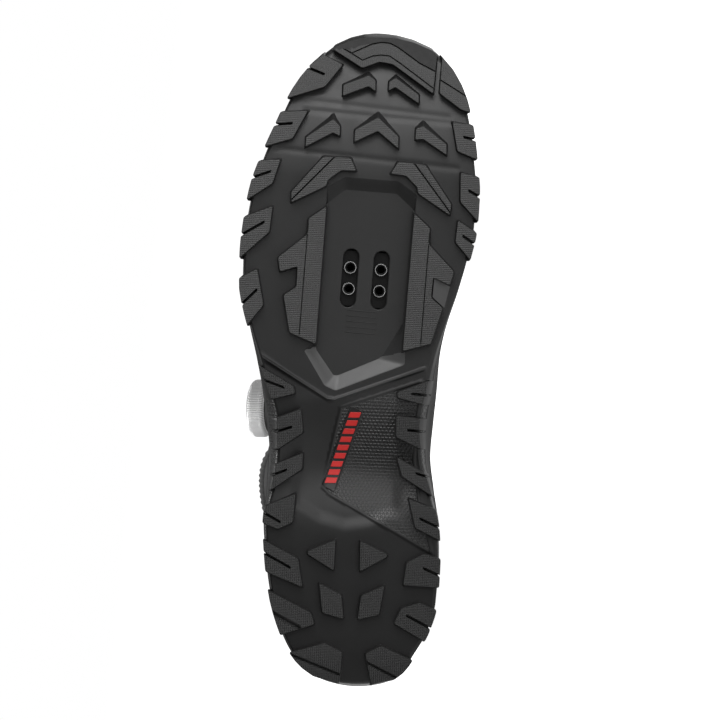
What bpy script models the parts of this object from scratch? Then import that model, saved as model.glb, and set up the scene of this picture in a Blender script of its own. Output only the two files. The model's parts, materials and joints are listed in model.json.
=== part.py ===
"""Right-foot trail cycling shoe with a two-bolt cleat pocket and a lace dial, lying on its inner side.

The shoe is drawn upright in its own axes: X from the heel tip to the toe tip, Y to the inner (medial)
side, Z up from the walking plane. One empty then lays it on its inner side, as it rests on a floor.
All lengths are in metres. Tables hold shares of the named sizes that they follow, in percent.
"""

import math

import bmesh
import bpy
import numpy as np
from mathutils import Matrix, Vector

MM = 0.001

# Overall sizes of the shoe
LENGTH = 296 * MM
BALL_WIDTH = 108 * MM
HEEL_STACK = 28 * MM
INSTEP_HEIGHT = 98 * MM
TOE_SPRING = 20 * MM
HEEL_BEVEL = 4 * MM
ARCH_RISE = 3 * MM
TOE_OVERHANG = 2.5 * MM
HEEL_OVERHANG = 2.0 * MM
FIT_GAP = 0.3 * MM

# Rubber outsole
LUG_HEIGHT = 4.5 * MM
LUG_PROUD = 1.0 * MM
LUG_EMBED = 1.1 * MM
ROOT_FILLET = 1.6 * MM
RIB_REACH = 2.2 * MM
RIB_CLIMB = 6 * MM
RUBBER_FLOOR = 2.7 * MM
RUBBER_WALL = 2.5 * MM
WAIST_HOLLOW = 4 * MM
TOE_RIM_CLIMB = 8 * MM
TOE_RIM_LEAN = 0.06
BEAD_WIDTH = 2.0 * MM
BEAD_HEIGHT = 1.6 * MM

# Cleat pocket, plate and nut
CLEAT_STATION = 0.6236 * LENGTH
CLEAT_OFFSET = -2.5 * MM
POCKET_TURN = math.radians(2.5)
POCKET_LENGTH = 85 * MM
POCKET_WIDTH = 40 * MM
PLATE_RECESS = 7.5 * MM
PLATE_THICK = 2.0 * MM
PLATE_FLANGE = 4.0 * MM
BOLT_SPACING = 14 * MM
BOLT_ROW_SPACING = 9.7 * MM
SLOT_LENGTH = 26.5 * MM
SLOT_WIDTH = 7.1 * MM
SLOT_SHIFT = -1.2 * MM
NUT_THICK = 1.5 * MM
NUT_MARGIN = 5.2 * MM
BOSS_RADIUS = 3.0 * MM
THREAD_RADIUS = 2.1 * MM
BOSS_DROP = 1.6 * MM

# Upper, tongue and insole
UPPER_WALL = 2.4 * MM
CLEARANCE_SHARE = 0.25
UPPER_LIFT = 0.5 * MM
EDGE_LEDGE = 1.2 * MM
TOE_LEDGE = RUBBER_WALL + 1.5 * MM
COLLAR_PAD = 2.6 * MM
ANKLE_FLARE = 11 * MM
TONGUE_THICK = 3.4 * MM
TONGUE_GAP = 0.6 * MM
TONGUE_TUCK = 11
INSOLE_THICK = 4.0 * MM
INSOLE_GAP = 1.2 * MM
INSOLE_LIFT = 0.4 * MM
THROAT_FRONT = 73.5

# Lace dial, guides and lace
DIAL_STATION = 41.7
DIAL_WRAP = 27.0
DIAL_RADIUS = 13.3 * MM
DIAL_HEIGHT = 8.0 * MM
DIAL_RIBS = 36
RIB_DEPTH = 0.45 * MM
DIAL_BASE_RADIUS = 12.0 * MM
DIAL_BASE_HEIGHT = 3.4 * MM
LACE_RADIUS = 0.7 * MM
LACE_LIFT = 1.4 * MM
GUIDE_LENGTH = 11 * MM
GUIDE_DEPTH = 7.5 * MM
GUIDE_HEIGHT = LACE_LIFT + 2 * LACE_RADIUS + 1.2 * MM

# Fineness of the faceted solids
SOLE_STATIONS = 34
UPPER_STATIONS = 30
UPPER_STEPS = 8

# Plan of the sole: half widths of the tread and of the sole's top edge.
# station in % of LENGTH; widths in % of BALL_WIDTH
PLAN_COLUMNS = ("station", "tread_lateral", "tread_medial", "top_lateral", "top_medial")
PLAN = (
    (0.0, 0.0, 0.0, 0.0, 0.0),
    (1.0, 16.2, 15.7, 14.4, 13.9),
    (2.7, 23.6, 21.3, 21.8, 19.4),
    (5.0, 29.0, 25.3, 27.1, 23.4),
    (8.5, 33.8, 30.4, 32.4, 28.7),
    (13.5, 38.0, 33.8, 37.0, 32.4),
    (20.0, 40.6, 34.1, 40.0, 33.3),
    (25.0, 41.5, 32.9, 41.5, 32.8),
    (30.0, 38.6, 29.1, 40.9, 30.6),
    (35.5, 36.9, 24.6, 40.6, 28.7),
    (40.5, 37.5, 23.1, 42.4, 29.4),
    (45.5, 42.1, 25.3, 44.6, 30.3),
    (50.5, 47.2, 28.4, 47.6, 30.9),
    (56.0, 52.5, 33.5, 50.7, 33.3),
    (61.0, 55.4, 38.3, 52.7, 37.0),
    (66.0, 55.6, 42.1, 52.8, 40.0),
    (71.0, 54.5, 44.6, 51.7, 42.0),
    (76.0, 52.4, 45.0, 49.4, 42.4),
    (81.0, 48.0, 43.6, 45.4, 41.3),
    (86.0, 42.4, 41.5, 40.4, 39.3),
    (90.5, 37.2, 38.4, 35.2, 36.4),
    (94.5, 30.2, 33.1, 28.7, 31.5),
    (97.3, 22.2, 26.2, 20.9, 25.0),
    (99.0, 13.9, 16.7, 13.0, 15.7),
    (100.0, 0.0, 0.0, 0.0, 0.0),
)

# Side view of the sole: the stack under the upper and the rubber rim, in % of HEEL_STACK above the tread
SIDE_COLUMNS = ("station", "stack", "rim_lateral", "rim_medial")
SIDE = (
    (0.0, 100.0, 72.0, 72.0),
    (12.0, 100.0, 58.0, 58.0),
    (25.0, 97.0, 50.0, 46.0),
    (36.0, 88.0, 66.0, 38.0),
    (45.0, 78.0, 60.0, 38.0),
    (58.0, 65.0, 46.0, 44.0),
    (70.0, 61.0, 44.0, 44.0),
    (82.0, 60.0, 46.0, 46.0),
    (92.0, 57.0, 57.0, 57.0),
    (100.0, 54.0, 54.0, 54.0),
)

# The last above the sole's edge. ridge in % of INSTEP_HEIGHT; shift in % of BALL_WIDTH, to the medial side;
# fullness is the section's exponent; wrap is how far up the quarter turn to the ridge the wall goes, in %
LAST_COLUMNS = ("station", "ridge", "shift", "fullness", "wrap")
LAST = (
    (0.0, 102.0, -1.0, 2.3, 46.0),
    (5.0, 105.0, -1.5, 2.3, 44.0),
    (10.0, 108.0, -2.0, 2.2, 38.5),
    (15.0, 111.0, -2.5, 2.2, 34.0),
    (20.0, 113.0, -2.5, 2.15, 32.0),
    (26.0, 112.0, -2.0, 2.1, 34.0),
    (32.0, 106.0, -1.0, 2.1, 43.0),
    (37.0, 99.0, 0.0, 2.1, 60.0),
    (41.0, 92.5, 1.0, 2.1, 72.0),
    (50.0, 78.0, 2.0, 2.15, 78.0),
    (58.0, 66.0, 2.5, 2.25, 82.0),
    (66.0, 56.5, 3.0, 2.4, 87.0),
    (71.0, 51.0, 3.0, 2.5, 92.0),
    (74.0, 48.5, 3.0, 2.5, 100.0),
    (82.0, 42.0, 3.0, 2.6, 100.0),
    (90.0, 34.5, 2.0, 2.6, 100.0),
    (95.0, 28.0, 1.5, 2.6, 100.0),
    (98.0, 20.0, 1.0, 2.5, 100.0),
    (100.0, 0.0, 0.0, 2.4, 100.0),
)

# Edge lugs. front, back: where the lug meets the tread's outline; inner_front, inner_back and knee: stations
# of its corners inboard; reach_...: how far inboard. Stations in % of LENGTH, reaches in % of BALL_WIDTH
EDGE_LUG_COLUMNS = (
    "side", "front", "back", "inner_front", "reach_front", "inner_back", "reach_back", "knee", "reach_knee",
)
EDGE_LUGS = (
    ("lateral", 96.9, 89.5, 95.3, 13.9, 91.6, 13.6, 0.0, 0.0),
    ("lateral", 87.7, 81.9, 88.0, 11.9, 83.4, 10.8, 0.0, 0.0),
    ("lateral", 80.0, 73.6, 80.4, 9.6, 76.4, 9.9, 0.0, 0.0),
    ("lateral", 71.3, 64.6, 73.2, 12.0, 69.0, 12.3, 0.0, 0.0),
    ("lateral", 61.9, 54.4, 63.5, 8.2, 57.8, 9.8, 0.0, 0.0),
    ("lateral", 48.6, 43.3, 45.6, 12.2, 44.4, 11.5, 0.0, 0.0),
    ("lateral", 40.7, 35.5, 42.3, 11.9, 38.5, 11.7, 0.0, 0.0),
    ("lateral", 33.6, 29.3, 35.6, 11.7, 32.9, 12.1, 0.0, 0.0),
    ("lateral", 27.2, 24.4, 29.3, 11.3, 24.7, 13.2, 23.5, 6.5),
    ("lateral", 22.1, 17.0, 19.3, 14.8, 14.7, 15.4, 0.0, 0.0),
    ("lateral", 14.4, 7.3, 11.1, 16.9, 9.2, 16.9, 0.0, 0.0),
    ("lateral", 4.8, 0.15, 6.6, 18.1, 5.2, 23.9, 0.0, 0.0),
    ("medial", 97.2, 88.4, 91.3, 11.8, 88.8, 4.4, 0.0, 0.0),
    ("medial", 86.7, 81.1, 87.1, 9.3, 82.4, 8.9, 0.0, 0.0),
    ("medial", 78.7, 71.5, 79.4, 8.3, 74.7, 8.8, 0.0, 0.0),
    ("medial", 70.1, 65.6, 72.1, 9.2, 68.5, 8.9, 0.0, 0.0),
    ("medial", 47.3, 43.4, 45.3, 12.5, 44.3, 11.6, 0.0, 0.0),
    ("medial", 41.4, 36.5, 41.8, 10.6, 38.3, 10.6, 0.0, 0.0),
    ("medial", 32.9, 29.4, 35.5, 11.1, 32.3, 10.9, 0.0, 0.0),
    ("medial", 27.6, 22.6, 29.2, 10.7, 24.5, 10.6, 0.0, 0.0),
    ("medial", 20.0, 15.5, 19.3, 14.8, 15.6, 15.7, 20.8, 7.2),
    ("medial", 12.1, 7.1, 12.3, 15.6, 9.8, 16.8, 13.3, 8.0),
    ("medial", 4.3, 0.15, 6.5, 17.6, 5.1, 22.0, 0.0, 0.0),
)

# Chevrons of the forefoot. Stations and drops in % of LENGTH, offsets and runs in % of BALL_WIDTH
CHEVRON_COLUMNS = (
    "station", "offset", "lateral_run", "lateral_drop", "medial_run", "medial_drop", "depth", "end_depth",
)
CHEVRONS = (
    (94.3, -3.8, 11.0, 2.05, 3.3, 1.2, 2.4, 2.05),
    (94.1, 7.5, 3.1, 1.15, 10.4, 3.0, 2.2, 1.7),
    (87.6, -18.0, 11.6, 3.7, 3.3, 1.85, 3.1, 1.8),
    (88.1, 0.8, 10.0, 2.8, 9.2, 3.6, 3.1, 2.2),
    (87.0, 19.8, 3.4, 1.15, 10.5, 3.4, 2.95, 2.0),
)

# Centre lugs of the heel, in mirrored pairs beside an axis. Stations in % of LENGTH, others in % of BALL_WIDTH
HEEL_LUG_COLUMNS = (
    "axis", "inner_front", "gap_front", "outer_front", "out_front", "outer_back", "out_back", "inner_back",
    "gap_back",
)
HEEL_LUGS = (
    (-5.3, 22.5, 4.8, 20.5, 17.0, 19.9, 17.0, 17.4, 5.2),
    (-3.0, 14.0, 3.8, 15.8, 14.1, 11.0, 12.2, 10.1, 2.6),
)

# Inner edge of the toe lug, from its lateral to its medial corner, in % of LENGTH and BALL_WIDTH
TOE_LUG_COLUMNS = ("station", "offset")
TOE_LUG = ((97.6, -19.8), (94.7, -6.7), (95.8, 0.5), (95.5, 6.0), (91.0, 23.8), (97.2, 24.9))

# Shapes beside the pocket, in its own axes: forward in % of POCKET_LENGTH and out in % of POCKET_WIDTH
RAIL_COLUMNS = ("forward", "out")
RAIL = (
    (38.0, 49.0), (30.0, 70.0), (21.3, 70.5), (8.0, 101.0), (-0.2, 97.2), (3.3, 78.0),
    (-6.8, 77.5), (-11.8, 91.5), (-31.9, 81.0), (-37.2, 48.5),
)
WING_COLUMNS = ("forward", "out")
WING = (
    (43.5, 92.0), (63.8, 58.5), (64.3, 26.5), (56.7, 18.0), (56.4, 36.5), (50.8, 50.2),
    (47.7, 51.0), (36.9, 91.0),
)

# The pocket's opening at the plate and at the tread's root, in the same axes and shares
POCKET_COLUMNS = ("plate_forward", "plate_out", "root_forward", "root_out")
POCKET = (
    (39.2, -49.0, 47.4, -50.6),
    (47.0, -30.5, 53.2, -31.0),
    (47.0, 28.5, 53.2, 29.0),
    (39.2, 49.0, 47.0, 50.6),
    (-17.9, 48.5, -17.9, 50.6),
    (-41.6, 25.5, -43.0, 50.6),
    (-52.6, -21.5, -59.4, -12.2),
    (-51.0, -28.7, -57.4, -34.7),
    (-37.9, -48.2, -38.4, -50.6),
)

# The bead behind the pocket, in % of LENGTH and BALL_WIDTH
BEAD_COLUMNS = ("station", "offset")
BEAD = ((50.3, -46.2), (43.8, -16.2), (43.7, -13.1), (48.9, 24.0))

# Lace guides from the throat's front to its top, alternating sides; station in % of LENGTH,
# setback in % of the quarter turn below the throat's edge
GUIDE_COLUMNS = ("side", "station", "setback")
GUIDES = (
    ("medial", 68.5, 7.0),
    ("lateral", 64.5, 9.0),
    ("medial", 60.0, 7.0),
    ("lateral", 55.5, 7.0),
    ("medial", 50.5, 7.0),
)

# Densities by material, in kg per cubic metre, for the centre of mass
DENSITY = {
    "rubber": 1100,
    "midsole_foam": 420,
    "nylon": 1150,
    "steel": 7800,
    "synthetic": 950,
    "padding": 350,
    "insole_fabric": 180,
    "black_plastic": 1100,
    "silver_plastic": 1200,
    "lace_cord": 1100,
}

SIDES = {"lateral": -1.0, "medial": 1.0}
COLLECTION = bpy.data.collections.new("cycling_shoe")
CUTTERS = bpy.data.collections.new("cutters")


def named_rows(columns, table):
    """A table's rows as dicts keyed by its column names."""
    return [dict(zip(columns, row)) for row in table]


def curve_through(columns, table, name, station):
    """A column read at any station as a smooth curve that never overshoots its rows.

    The stations are spread by an arc cosine, so that widths that end at zero close round.
    """
    rows = np.array([[row[0], row[columns.index(name)]] for row in table])
    knots = np.arccos(1 - 2 * rows[:, 0] / 100) / math.pi
    at = np.arccos(1 - 2 * np.clip(np.asarray(station, float), 0, 100) / 100) / math.pi
    step = np.diff(knots)
    slope = np.diff(rows[:, 1]) / step
    mean = np.zeros(len(knots))
    same = slope[:-1] * slope[1:] > 0
    before, after = slope[:-1][same], slope[1:][same]
    mean[1:-1][same] = 2 * before * after / (before + after)
    mean[0], mean[-1] = slope[0], slope[-1]
    index = np.clip(np.searchsorted(knots, at, side="right") - 1, 0, len(step) - 1)
    share = (at - knots[index]) / step[index]
    rise = share**2 * (3 - 2 * share)
    return (
        rows[index, 1] * (1 - rise)
        + rows[index + 1, 1] * rise
        + step[index] * mean[index] * share * (1 - share) ** 2
        - step[index] * mean[index + 1] * share**2 * (1 - share)
    )


def smooth_step(low, high, value):
    """0 at low, 1 at high and an S curve between, held beyond them."""
    share = np.clip((np.asarray(value, float) - low) / (high - low), 0, 1)
    return share * share * (3 - 2 * share)


def half_width(name, station):
    """A half width of the plan in metres."""
    return curve_through(PLAN_COLUMNS, PLAN, name, station) * BALL_WIDTH / 100


def tread_height(station):
    """The lugs' ground faces: flat at heel and ball, rising to the toe, at the heel's end and in the arch."""
    station = np.asarray(station, float)
    toe = TOE_SPRING * np.clip((station - 78) / 22, 0, 1) ** 1.8
    heel = HEEL_BEVEL * np.clip((6 - station) / 6, 0, 1) ** 2
    arch = ARCH_RISE * np.sin(math.pi * np.clip((station - 26) / 18, 0, 1)) ** 2
    return toe + heel + arch


def root_height(station, across):
    """The sole's underside between the lugs; across is 0 on the centre line and 1 at the edge."""
    waist = np.sin(math.pi * np.clip((np.asarray(station, float) - 23) / 21, 0, 1)) ** 2
    return tread_height(station) + LUG_HEIGHT + WAIST_HOLLOW * waist * (1 - np.asarray(across) ** 2)


def stack_height(station):
    """The sole's top, where it meets the upper."""
    stack = curve_through(SIDE_COLUMNS, SIDE, "stack", station) * HEEL_STACK / 100
    return tread_height(station) + stack


def rim_height(station, side):
    """The top of the rubber wall on one side; round the toe it climbs over the upper."""
    rim = curve_through(SIDE_COLUMNS, SIDE, "rim_" + side, station) * HEEL_STACK / 100
    climb = TOE_RIM_CLIMB * smooth_step(86, 95, station)
    return tread_height(station) + rim + climb


def loop_stations():
    """Stations round the sole: heel to toe on the lateral side, then back on the medial side."""
    turn = np.linspace(0, math.pi, SOLE_STATIONS + 1)
    forward = 50 * (1 - np.cos(turn))
    lateral = [(s, "lateral") for s in forward]
    medial = [(s, "medial") for s in forward[-2:0:-1]]
    stations = np.array([s for s, _ in lateral + medial])
    sides = [side for _, side in lateral + medial]
    return stations, sides


def side_values(function, stations, sides):
    """function(stations, side) chosen point by point round the loop."""
    values = {side: function(stations, side) for side in SIDES}
    return np.array([values[side][i] for i, side in enumerate(sides)])


def inset_loop(loop, distance):
    """A closed plan loop moved inwards along its own normals."""
    tangent = np.roll(loop, -1, 0) - np.roll(loop, 1, 0)
    tangent /= np.linalg.norm(tangent, axis=1)[:, None]
    inward = np.stack([tangent[:, 1], -tangent[:, 0]], axis=1)
    middle = loop.mean(0)
    if ((middle - loop) * inward).sum() < 0:
        inward = -inward
    return loop + inward * np.broadcast_to(distance, len(loop))[:, None]


def heel_overhang(station):
    """How far the sole's top edge runs back of the tread round the heel."""
    return HEEL_OVERHANG * smooth_step(10, 0, station)


def edge_ring(stations, sides, height, inset, toe_overhang=0.0):
    """A ring on the sole's side wall at the given heights, moved inwards by inset."""
    signs = np.array([SIDES[side] for side in sides])
    loops = []
    flare = toe_overhang * smooth_step(88, 100, stations) - heel_overhang(stations)
    for level, reach in (("tread_", 0.0), ("top_", flare)):
        width = side_values(lambda s, side: half_width(level + side, s), stations, sides)
        loops.append(np.stack([stations * LENGTH / 100 + reach, signs * width], axis=1))
    low, high = tread_height(stations), stack_height(stations)
    share = (height - low) / (high - low)
    lean = np.clip(share - 1, 0, None) * (high - low) * TOE_RIM_LEAN
    share = np.clip(share, 0, 1)[:, None]
    plan = inset_loop(loops[0] * (1 - share) + loops[1] * share, inset + lean)
    station = np.clip(plan[:, 0] * 100 / LENGTH, 0, 100)
    return np.column_stack([plan, height + tread_height(station) - low])


def spine_of(ring):
    """The centre line under a ring: its midpoints, gathered in at the heel and the toe."""
    half = len(ring) // 2
    opposite = (len(ring) - np.arange(len(ring))) % len(ring)
    middle = (ring[:, :2] + ring[opposite, :2]) / 2
    ends = (0.1 * LENGTH, 0.9 * LENGTH)
    x = np.clip(middle[:, 0], *ends)
    order = np.arange(half + 1)
    y = np.interp(x, middle[order, 0], middle[order, 1])
    return np.column_stack([x, y])


def cap_rings(ring, surface, shares):
    """Rings inside a ring, closing on its centre line, at the heights that surface(station, across) gives."""
    spine = spine_of(ring)
    rings = []
    for share in shares:
        plan = spine + share * (ring[:, :2] - spine)
        station = np.clip(plan[:, 0] * 100 / LENGTH, 0, 100)
        rings.append(np.column_stack([plan, surface(station, share)]))
    return rings


def material(name, colour, roughness, metallic=0.0):
    """A plain material: colour, roughness and metallic value."""
    made = bpy.data.materials.new(name)
    made.use_nodes = True
    shader = made.node_tree.nodes["Principled BSDF"]
    shader.inputs["Base Color"].default_value = (*colour, 1)
    shader.inputs["Roughness"].default_value = roughness
    shader.inputs["Metallic"].default_value = metallic
    made.diffuse_color = (*colour, 1)
    return made


def add_object(name, mesh_data, made_of, cutter=False):
    """A mesh object in the shoe's collection, or a hidden cutter."""
    obj = bpy.data.objects.new(name, mesh_data)
    (CUTTERS if cutter else COLLECTION).objects.link(obj)
    if cutter:
        obj.hide_render = True
        obj.display_type = "WIRE"
    else:
        mesh_data.materials.append(made_of)
        mesh_data.shade_smooth()
        mesh_data.set_sharp_from_angle(angle=math.radians(35))
    return obj


def mesh_from_bmesh(name, shape):
    """A mesh of triangles from a bmesh, with doubles merged and its faces turned outwards."""
    bmesh.ops.remove_doubles(shape, verts=shape.verts, dist=2e-6)
    bmesh.ops.triangulate(shape, faces=shape.faces)
    bmesh.ops.recalc_face_normals(shape, faces=shape.faces)
    data = bpy.data.meshes.new(name)
    shape.to_mesh(data)
    shape.free()
    return data


def loft_mesh(name, rings):
    """A mesh through closed rings of equal count; its first and last rings close on themselves."""
    shape = bmesh.new()
    grid = [[shape.verts.new(point) for point in ring] for ring in rings]
    count = len(rings[0])
    for lower, upper in zip(grid, grid[1:]):
        for i in range(count):
            j = (i + 1) % count
            shape.faces.new((lower[i], lower[j], upper[j], upper[i]))
    return mesh_from_bmesh(name, shape)


def joined_mesh(name, parts):
    """One mesh of several separate closed lofts, each given as a list of rings with flat ends."""
    shape = bmesh.new()
    for rings in parts:
        grid = [[shape.verts.new(point) for point in ring] for ring in rings]
        count = len(rings[0])
        faces = [shape.faces.new(grid[0]), shape.faces.new(grid[-1])]
        for lower, upper in zip(grid, grid[1:]):
            for i in range(count):
                j = (i + 1) % count
                faces.append(shape.faces.new((lower[i], lower[j], upper[j], upper[i])))
        bmesh.ops.recalc_face_normals(shape, faces=faces)
    bmesh.ops.triangulate(shape, faces=shape.faces)
    data = bpy.data.meshes.new(name)
    shape.to_mesh(data)
    shape.free()
    return data


def boolean(obj, cutter, operation):
    """A Boolean modifier with the exact solver."""
    modifier = obj.modifiers.new(cutter.name, "BOOLEAN")
    modifier.operation = operation
    modifier.solver = "EXACT"
    modifier.use_self = operation == "UNION"
    modifier.object = cutter


def across_share(x, y):
    """How far a plan point lies from the centre line to the tread's edge, from 0 to 1."""
    station = np.clip(np.asarray(x) * 100 / LENGTH, 0.5, 99.5)
    lateral, medial = half_width("tread_lateral", station), half_width("tread_medial", station)
    middle = (medial - lateral) / 2
    return np.clip(np.abs(np.asarray(y) - middle) / ((medial + lateral) / 2), 0, 1)


def lug_rings(plan, taper=0.35 * MM):
    """A lug on a plan polygon: its ground face, a small draft and its root inside the rubber floor."""
    plan = np.asarray(plan, float)
    station = np.clip(plan[:, 0] * 100 / LENGTH, 0, 100)
    root = root_height(station, across_share(plan[:, 0], plan[:, 1]))
    bottom = inset_loop(plan, taper)
    return [
        np.column_stack([bottom, tread_height(station)]),
        np.column_stack([plan, root + LUG_EMBED]),
    ]


def tread_point(side, station, reach=0.0):
    """A plan point on the tread's outline, moved inboard by reach, in % of BALL_WIDTH."""
    width = half_width("tread_" + side, station) - reach * BALL_WIDTH / 100
    return np.array([station * LENGTH / 100, SIDES[side] * width])


def edge_lug_plan(row):
    """The plan polygon of one edge lug: three points on the outline, then its corners inboard."""
    side = row["side"]
    plan = [tread_point(side, s) for s in np.linspace(row["back"], row["front"], 4)]
    if row["knee"] and row["reach_knee"] and row["knee"] > row["front"] - 1:
        plan.append(tread_point(side, row["knee"], row["reach_knee"]))
    plan.append(tread_point(side, row["inner_front"], row["reach_front"]))
    plan.append(tread_point(side, row["inner_back"], row["reach_back"]))
    if row["knee"] and row["knee"] < row["back"]:
        plan.append(tread_point(side, row["knee"], row["reach_knee"]))
    return np.array(plan)


def wall_point(side, station, climb, inset):
    """A point of the sole's side, climb above the tread and inset from its outline there."""
    tread, stack = tread_height(station), stack_height(station)
    share = climb / (stack - tread)
    low, high = half_width("tread_" + side, station), half_width("top_" + side, station)
    width = low * (1 - share) + high * share - inset
    return (station * LENGTH / 100, SIDES[side] * width, tread + climb)


def side_rib_rings(row):
    """The rib that carries an edge lug up the rubber wall."""
    side = row["side"]
    margin = 0.12 * (row["front"] - row["back"])
    back, front = max(row["back"] + margin, 2.2), min(row["front"] - margin, 95.5)
    stations = np.linspace(back, front, 3)
    rings = []
    for climb, pull in ((LUG_HEIGHT * 0.5, 0.8 * MM), (LUG_HEIGHT + RIB_CLIMB, LUG_PROUD)):
        outer = [wall_point(side, s, climb, pull) for s in stations]
        inner = [wall_point(side, s, climb, RIB_REACH) for s in stations]
        rings.append(outer + inner[::-1])
    return rings


def chevron_plan(row):
    """The plan polygon of one chevron: apex, two arms and the notch behind it."""
    x, y = row["station"] * LENGTH / 100, row["offset"] * BALL_WIDTH / 100
    arms = {}
    for side, sign in SIDES.items():
        run = sign * row[side + "_run"] * BALL_WIDTH / 100
        arms[side] = (x - row[side + "_drop"] * LENGTH / 100, y + run)
    depth, end_depth = row["depth"] * LENGTH / 100, row["end_depth"] * LENGTH / 100
    return np.array([
        arms["lateral"],
        (x, y),
        arms["medial"],
        (arms["medial"][0] - end_depth, arms["medial"][1]),
        (x - depth, y),
        (arms["lateral"][0] - end_depth, arms["lateral"][1]),
    ])


def heel_lug_plan(row, sign):
    """The plan polygon of one centre lug of the heel, on the side that sign gives."""
    corners = (("inner_front", "gap_front"), ("outer_front", "out_front"), ("outer_back", "out_back"),
               ("inner_back", "gap_back"))
    return np.array([
        (row[along] * LENGTH / 100, (row["axis"] + sign * row[out]) * BALL_WIDTH / 100)
        for along, out in corners
    ])


def pocket_point(forward, out):
    """Shares of the pocket's length and width as a plan point of the shoe."""
    u, v = forward * POCKET_LENGTH / 100, out * POCKET_WIDTH / 100
    cosine, sine = math.cos(POCKET_TURN), math.sin(POCKET_TURN)
    return (CLEAT_STATION + u * cosine - v * sine, CLEAT_OFFSET + u * sine + v * cosine)


def toe_lug_plan():
    """The toe lug: round the tip of the outline, then along its inner edge."""
    rows = named_rows(TOE_LUG_COLUMNS, TOE_LUG)
    inner = [(r["station"] * LENGTH / 100, r["offset"] * BALL_WIDTH / 100) for r in rows]
    tip = [tread_point("medial", s) for s in (98.0, 99.2, 99.8)]
    tip += [tread_point("lateral", s) for s in (99.8, 99.2, 98.0)]
    return np.array(inner + [tuple(p) for p in tip])


def bead_rings():
    """The low bead across the waist, behind the pocket."""
    centre = np.array([(s * LENGTH / 100, y * BALL_WIDTH / 100) for s, y in BEAD])
    station = centre[:, 0] * 100 / LENGTH
    root = root_height(station, across_share(centre[:, 0], centre[:, 1]))
    rings = []
    for (x, y), z in zip(centre, root):
        rings.append([
            (x - BEAD_WIDTH, y, z + LUG_EMBED),
            (x, y, z - BEAD_HEIGHT),
            (x + BEAD_WIDTH, y, z + LUG_EMBED),
        ])
    return rings


def outsole(rubber):
    """The rubber outsole: a shallow cup with lugs, side ribs and the cleat pocket cut through it."""
    stations, sides = loop_stations()
    tread = tread_height(stations)
    root = tread + LUG_HEIGHT
    rim = side_values(rim_height, stations, sides)
    base_edge = edge_ring(stations, sides, root, LUG_PROUD + ROOT_FILLET)
    inner_edge = edge_ring(stations, sides, root + RUBBER_FLOOR, LUG_PROUD + RUBBER_WALL)
    rings = cap_rings(base_edge, root_height, (0.0, 0.35, 0.7))
    rings.append(base_edge)
    rings.append(edge_ring(stations, sides, root + ROOT_FILLET, LUG_PROUD, TOE_OVERHANG))
    rings.append(edge_ring(stations, sides, rim, LUG_PROUD * 0.4, TOE_OVERHANG))
    rings.append(edge_ring(stations, sides, rim, LUG_PROUD * 0.4 + RUBBER_WALL))
    rings.append(inner_edge)
    rings += cap_rings(inner_edge, lambda s, a: root_height(s, a) + RUBBER_FLOOR, (0.7, 0.35, 0.0))
    sole = add_object("outsole", loft_mesh("outsole", rings), rubber)

    edge_rows = named_rows(EDGE_LUG_COLUMNS, EDGE_LUGS)
    plans = [edge_lug_plan(row) for row in edge_rows]
    plans += [chevron_plan(row) for row in named_rows(CHEVRON_COLUMNS, CHEVRONS)]
    for row in named_rows(HEEL_LUG_COLUMNS, HEEL_LUGS):
        plans += [heel_lug_plan(row, sign) for sign in SIDES.values()]
    for table in (RAIL, WING):
        for sign in SIDES.values():
            plans.append(np.array([pocket_point(u, sign * v) for u, v in table]))
    plans.append(toe_lug_plan())
    lugs = joined_mesh("lug_forms", [lug_rings(plan) for plan in plans])
    boolean(sole, add_object("lug_forms", lugs, None, cutter=True), "UNION")
    ribs = joined_mesh("rib_forms", [side_rib_rings(row) for row in edge_rows] + [bead_rings()])
    boolean(sole, add_object("rib_forms", ribs, None, cutter=True), "UNION")
    boolean(sole, pocket_cutter(), "DIFFERENCE")
    return sole


def pocket_cutter():
    """The pocket's opening, wider at the tread's root than at the plate."""
    rows = named_rows(POCKET_COLUMNS, POCKET)
    plate = [(*pocket_point(r["plate_forward"], r["plate_out"]), PLATE_RECESS) for r in rows]
    root = [(*pocket_point(r["root_forward"], r["root_out"]), LUG_HEIGHT - 0.2 * MM) for r in rows]
    above = [(x, y, PLATE_RECESS + 3 * MM) for x, y, _ in plate]
    below = [(x, y, -2 * MM) for x, y, _ in root]
    return add_object("pocket_form", joined_mesh("pocket_form", [[below, root, plate, above]]), None, cutter=True)


def plate_outline(grow=0.0):
    """The plate's plan: the pocket's opening at the plate, a flange round it and any clearance."""
    rows = named_rows(POCKET_COLUMNS, POCKET)
    plan = np.array([pocket_point(r["plate_forward"], r["plate_out"]) for r in rows])
    return inset_loop(plan, -(PLATE_FLANGE + grow))


def plate_seat():
    """The room for the plate in the midsole."""
    plan = plate_outline(FIT_GAP)
    bottom, top = PLATE_RECESS - FIT_GAP, PLATE_RECESS + PLATE_THICK + FIT_GAP
    rings = [np.column_stack([plan, np.full(len(plan), z)]) for z in (bottom, top)]
    return add_object("plate_seat", joined_mesh("plate_seat", [rings]), None, cutter=True)


def slot_loop(centre, length, width, z, steps=8):
    """A slot with round ends, along the pocket's axis."""
    turn = np.linspace(-math.pi / 2, math.pi / 2, steps)
    straight = (length - width) / 2
    u = np.concatenate([straight + width / 2 * np.cos(turn), -straight - width / 2 * np.cos(turn)])
    v = np.concatenate([width / 2 * np.sin(turn), -width / 2 * np.sin(turn)])
    points = [pocket_point(100 * (centre[0] + a) / POCKET_LENGTH, 100 * (centre[1] + b) / POCKET_WIDTH)
              for a, b in zip(u, v)]
    return np.array([(x, y, z) for x, y in points])


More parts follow.
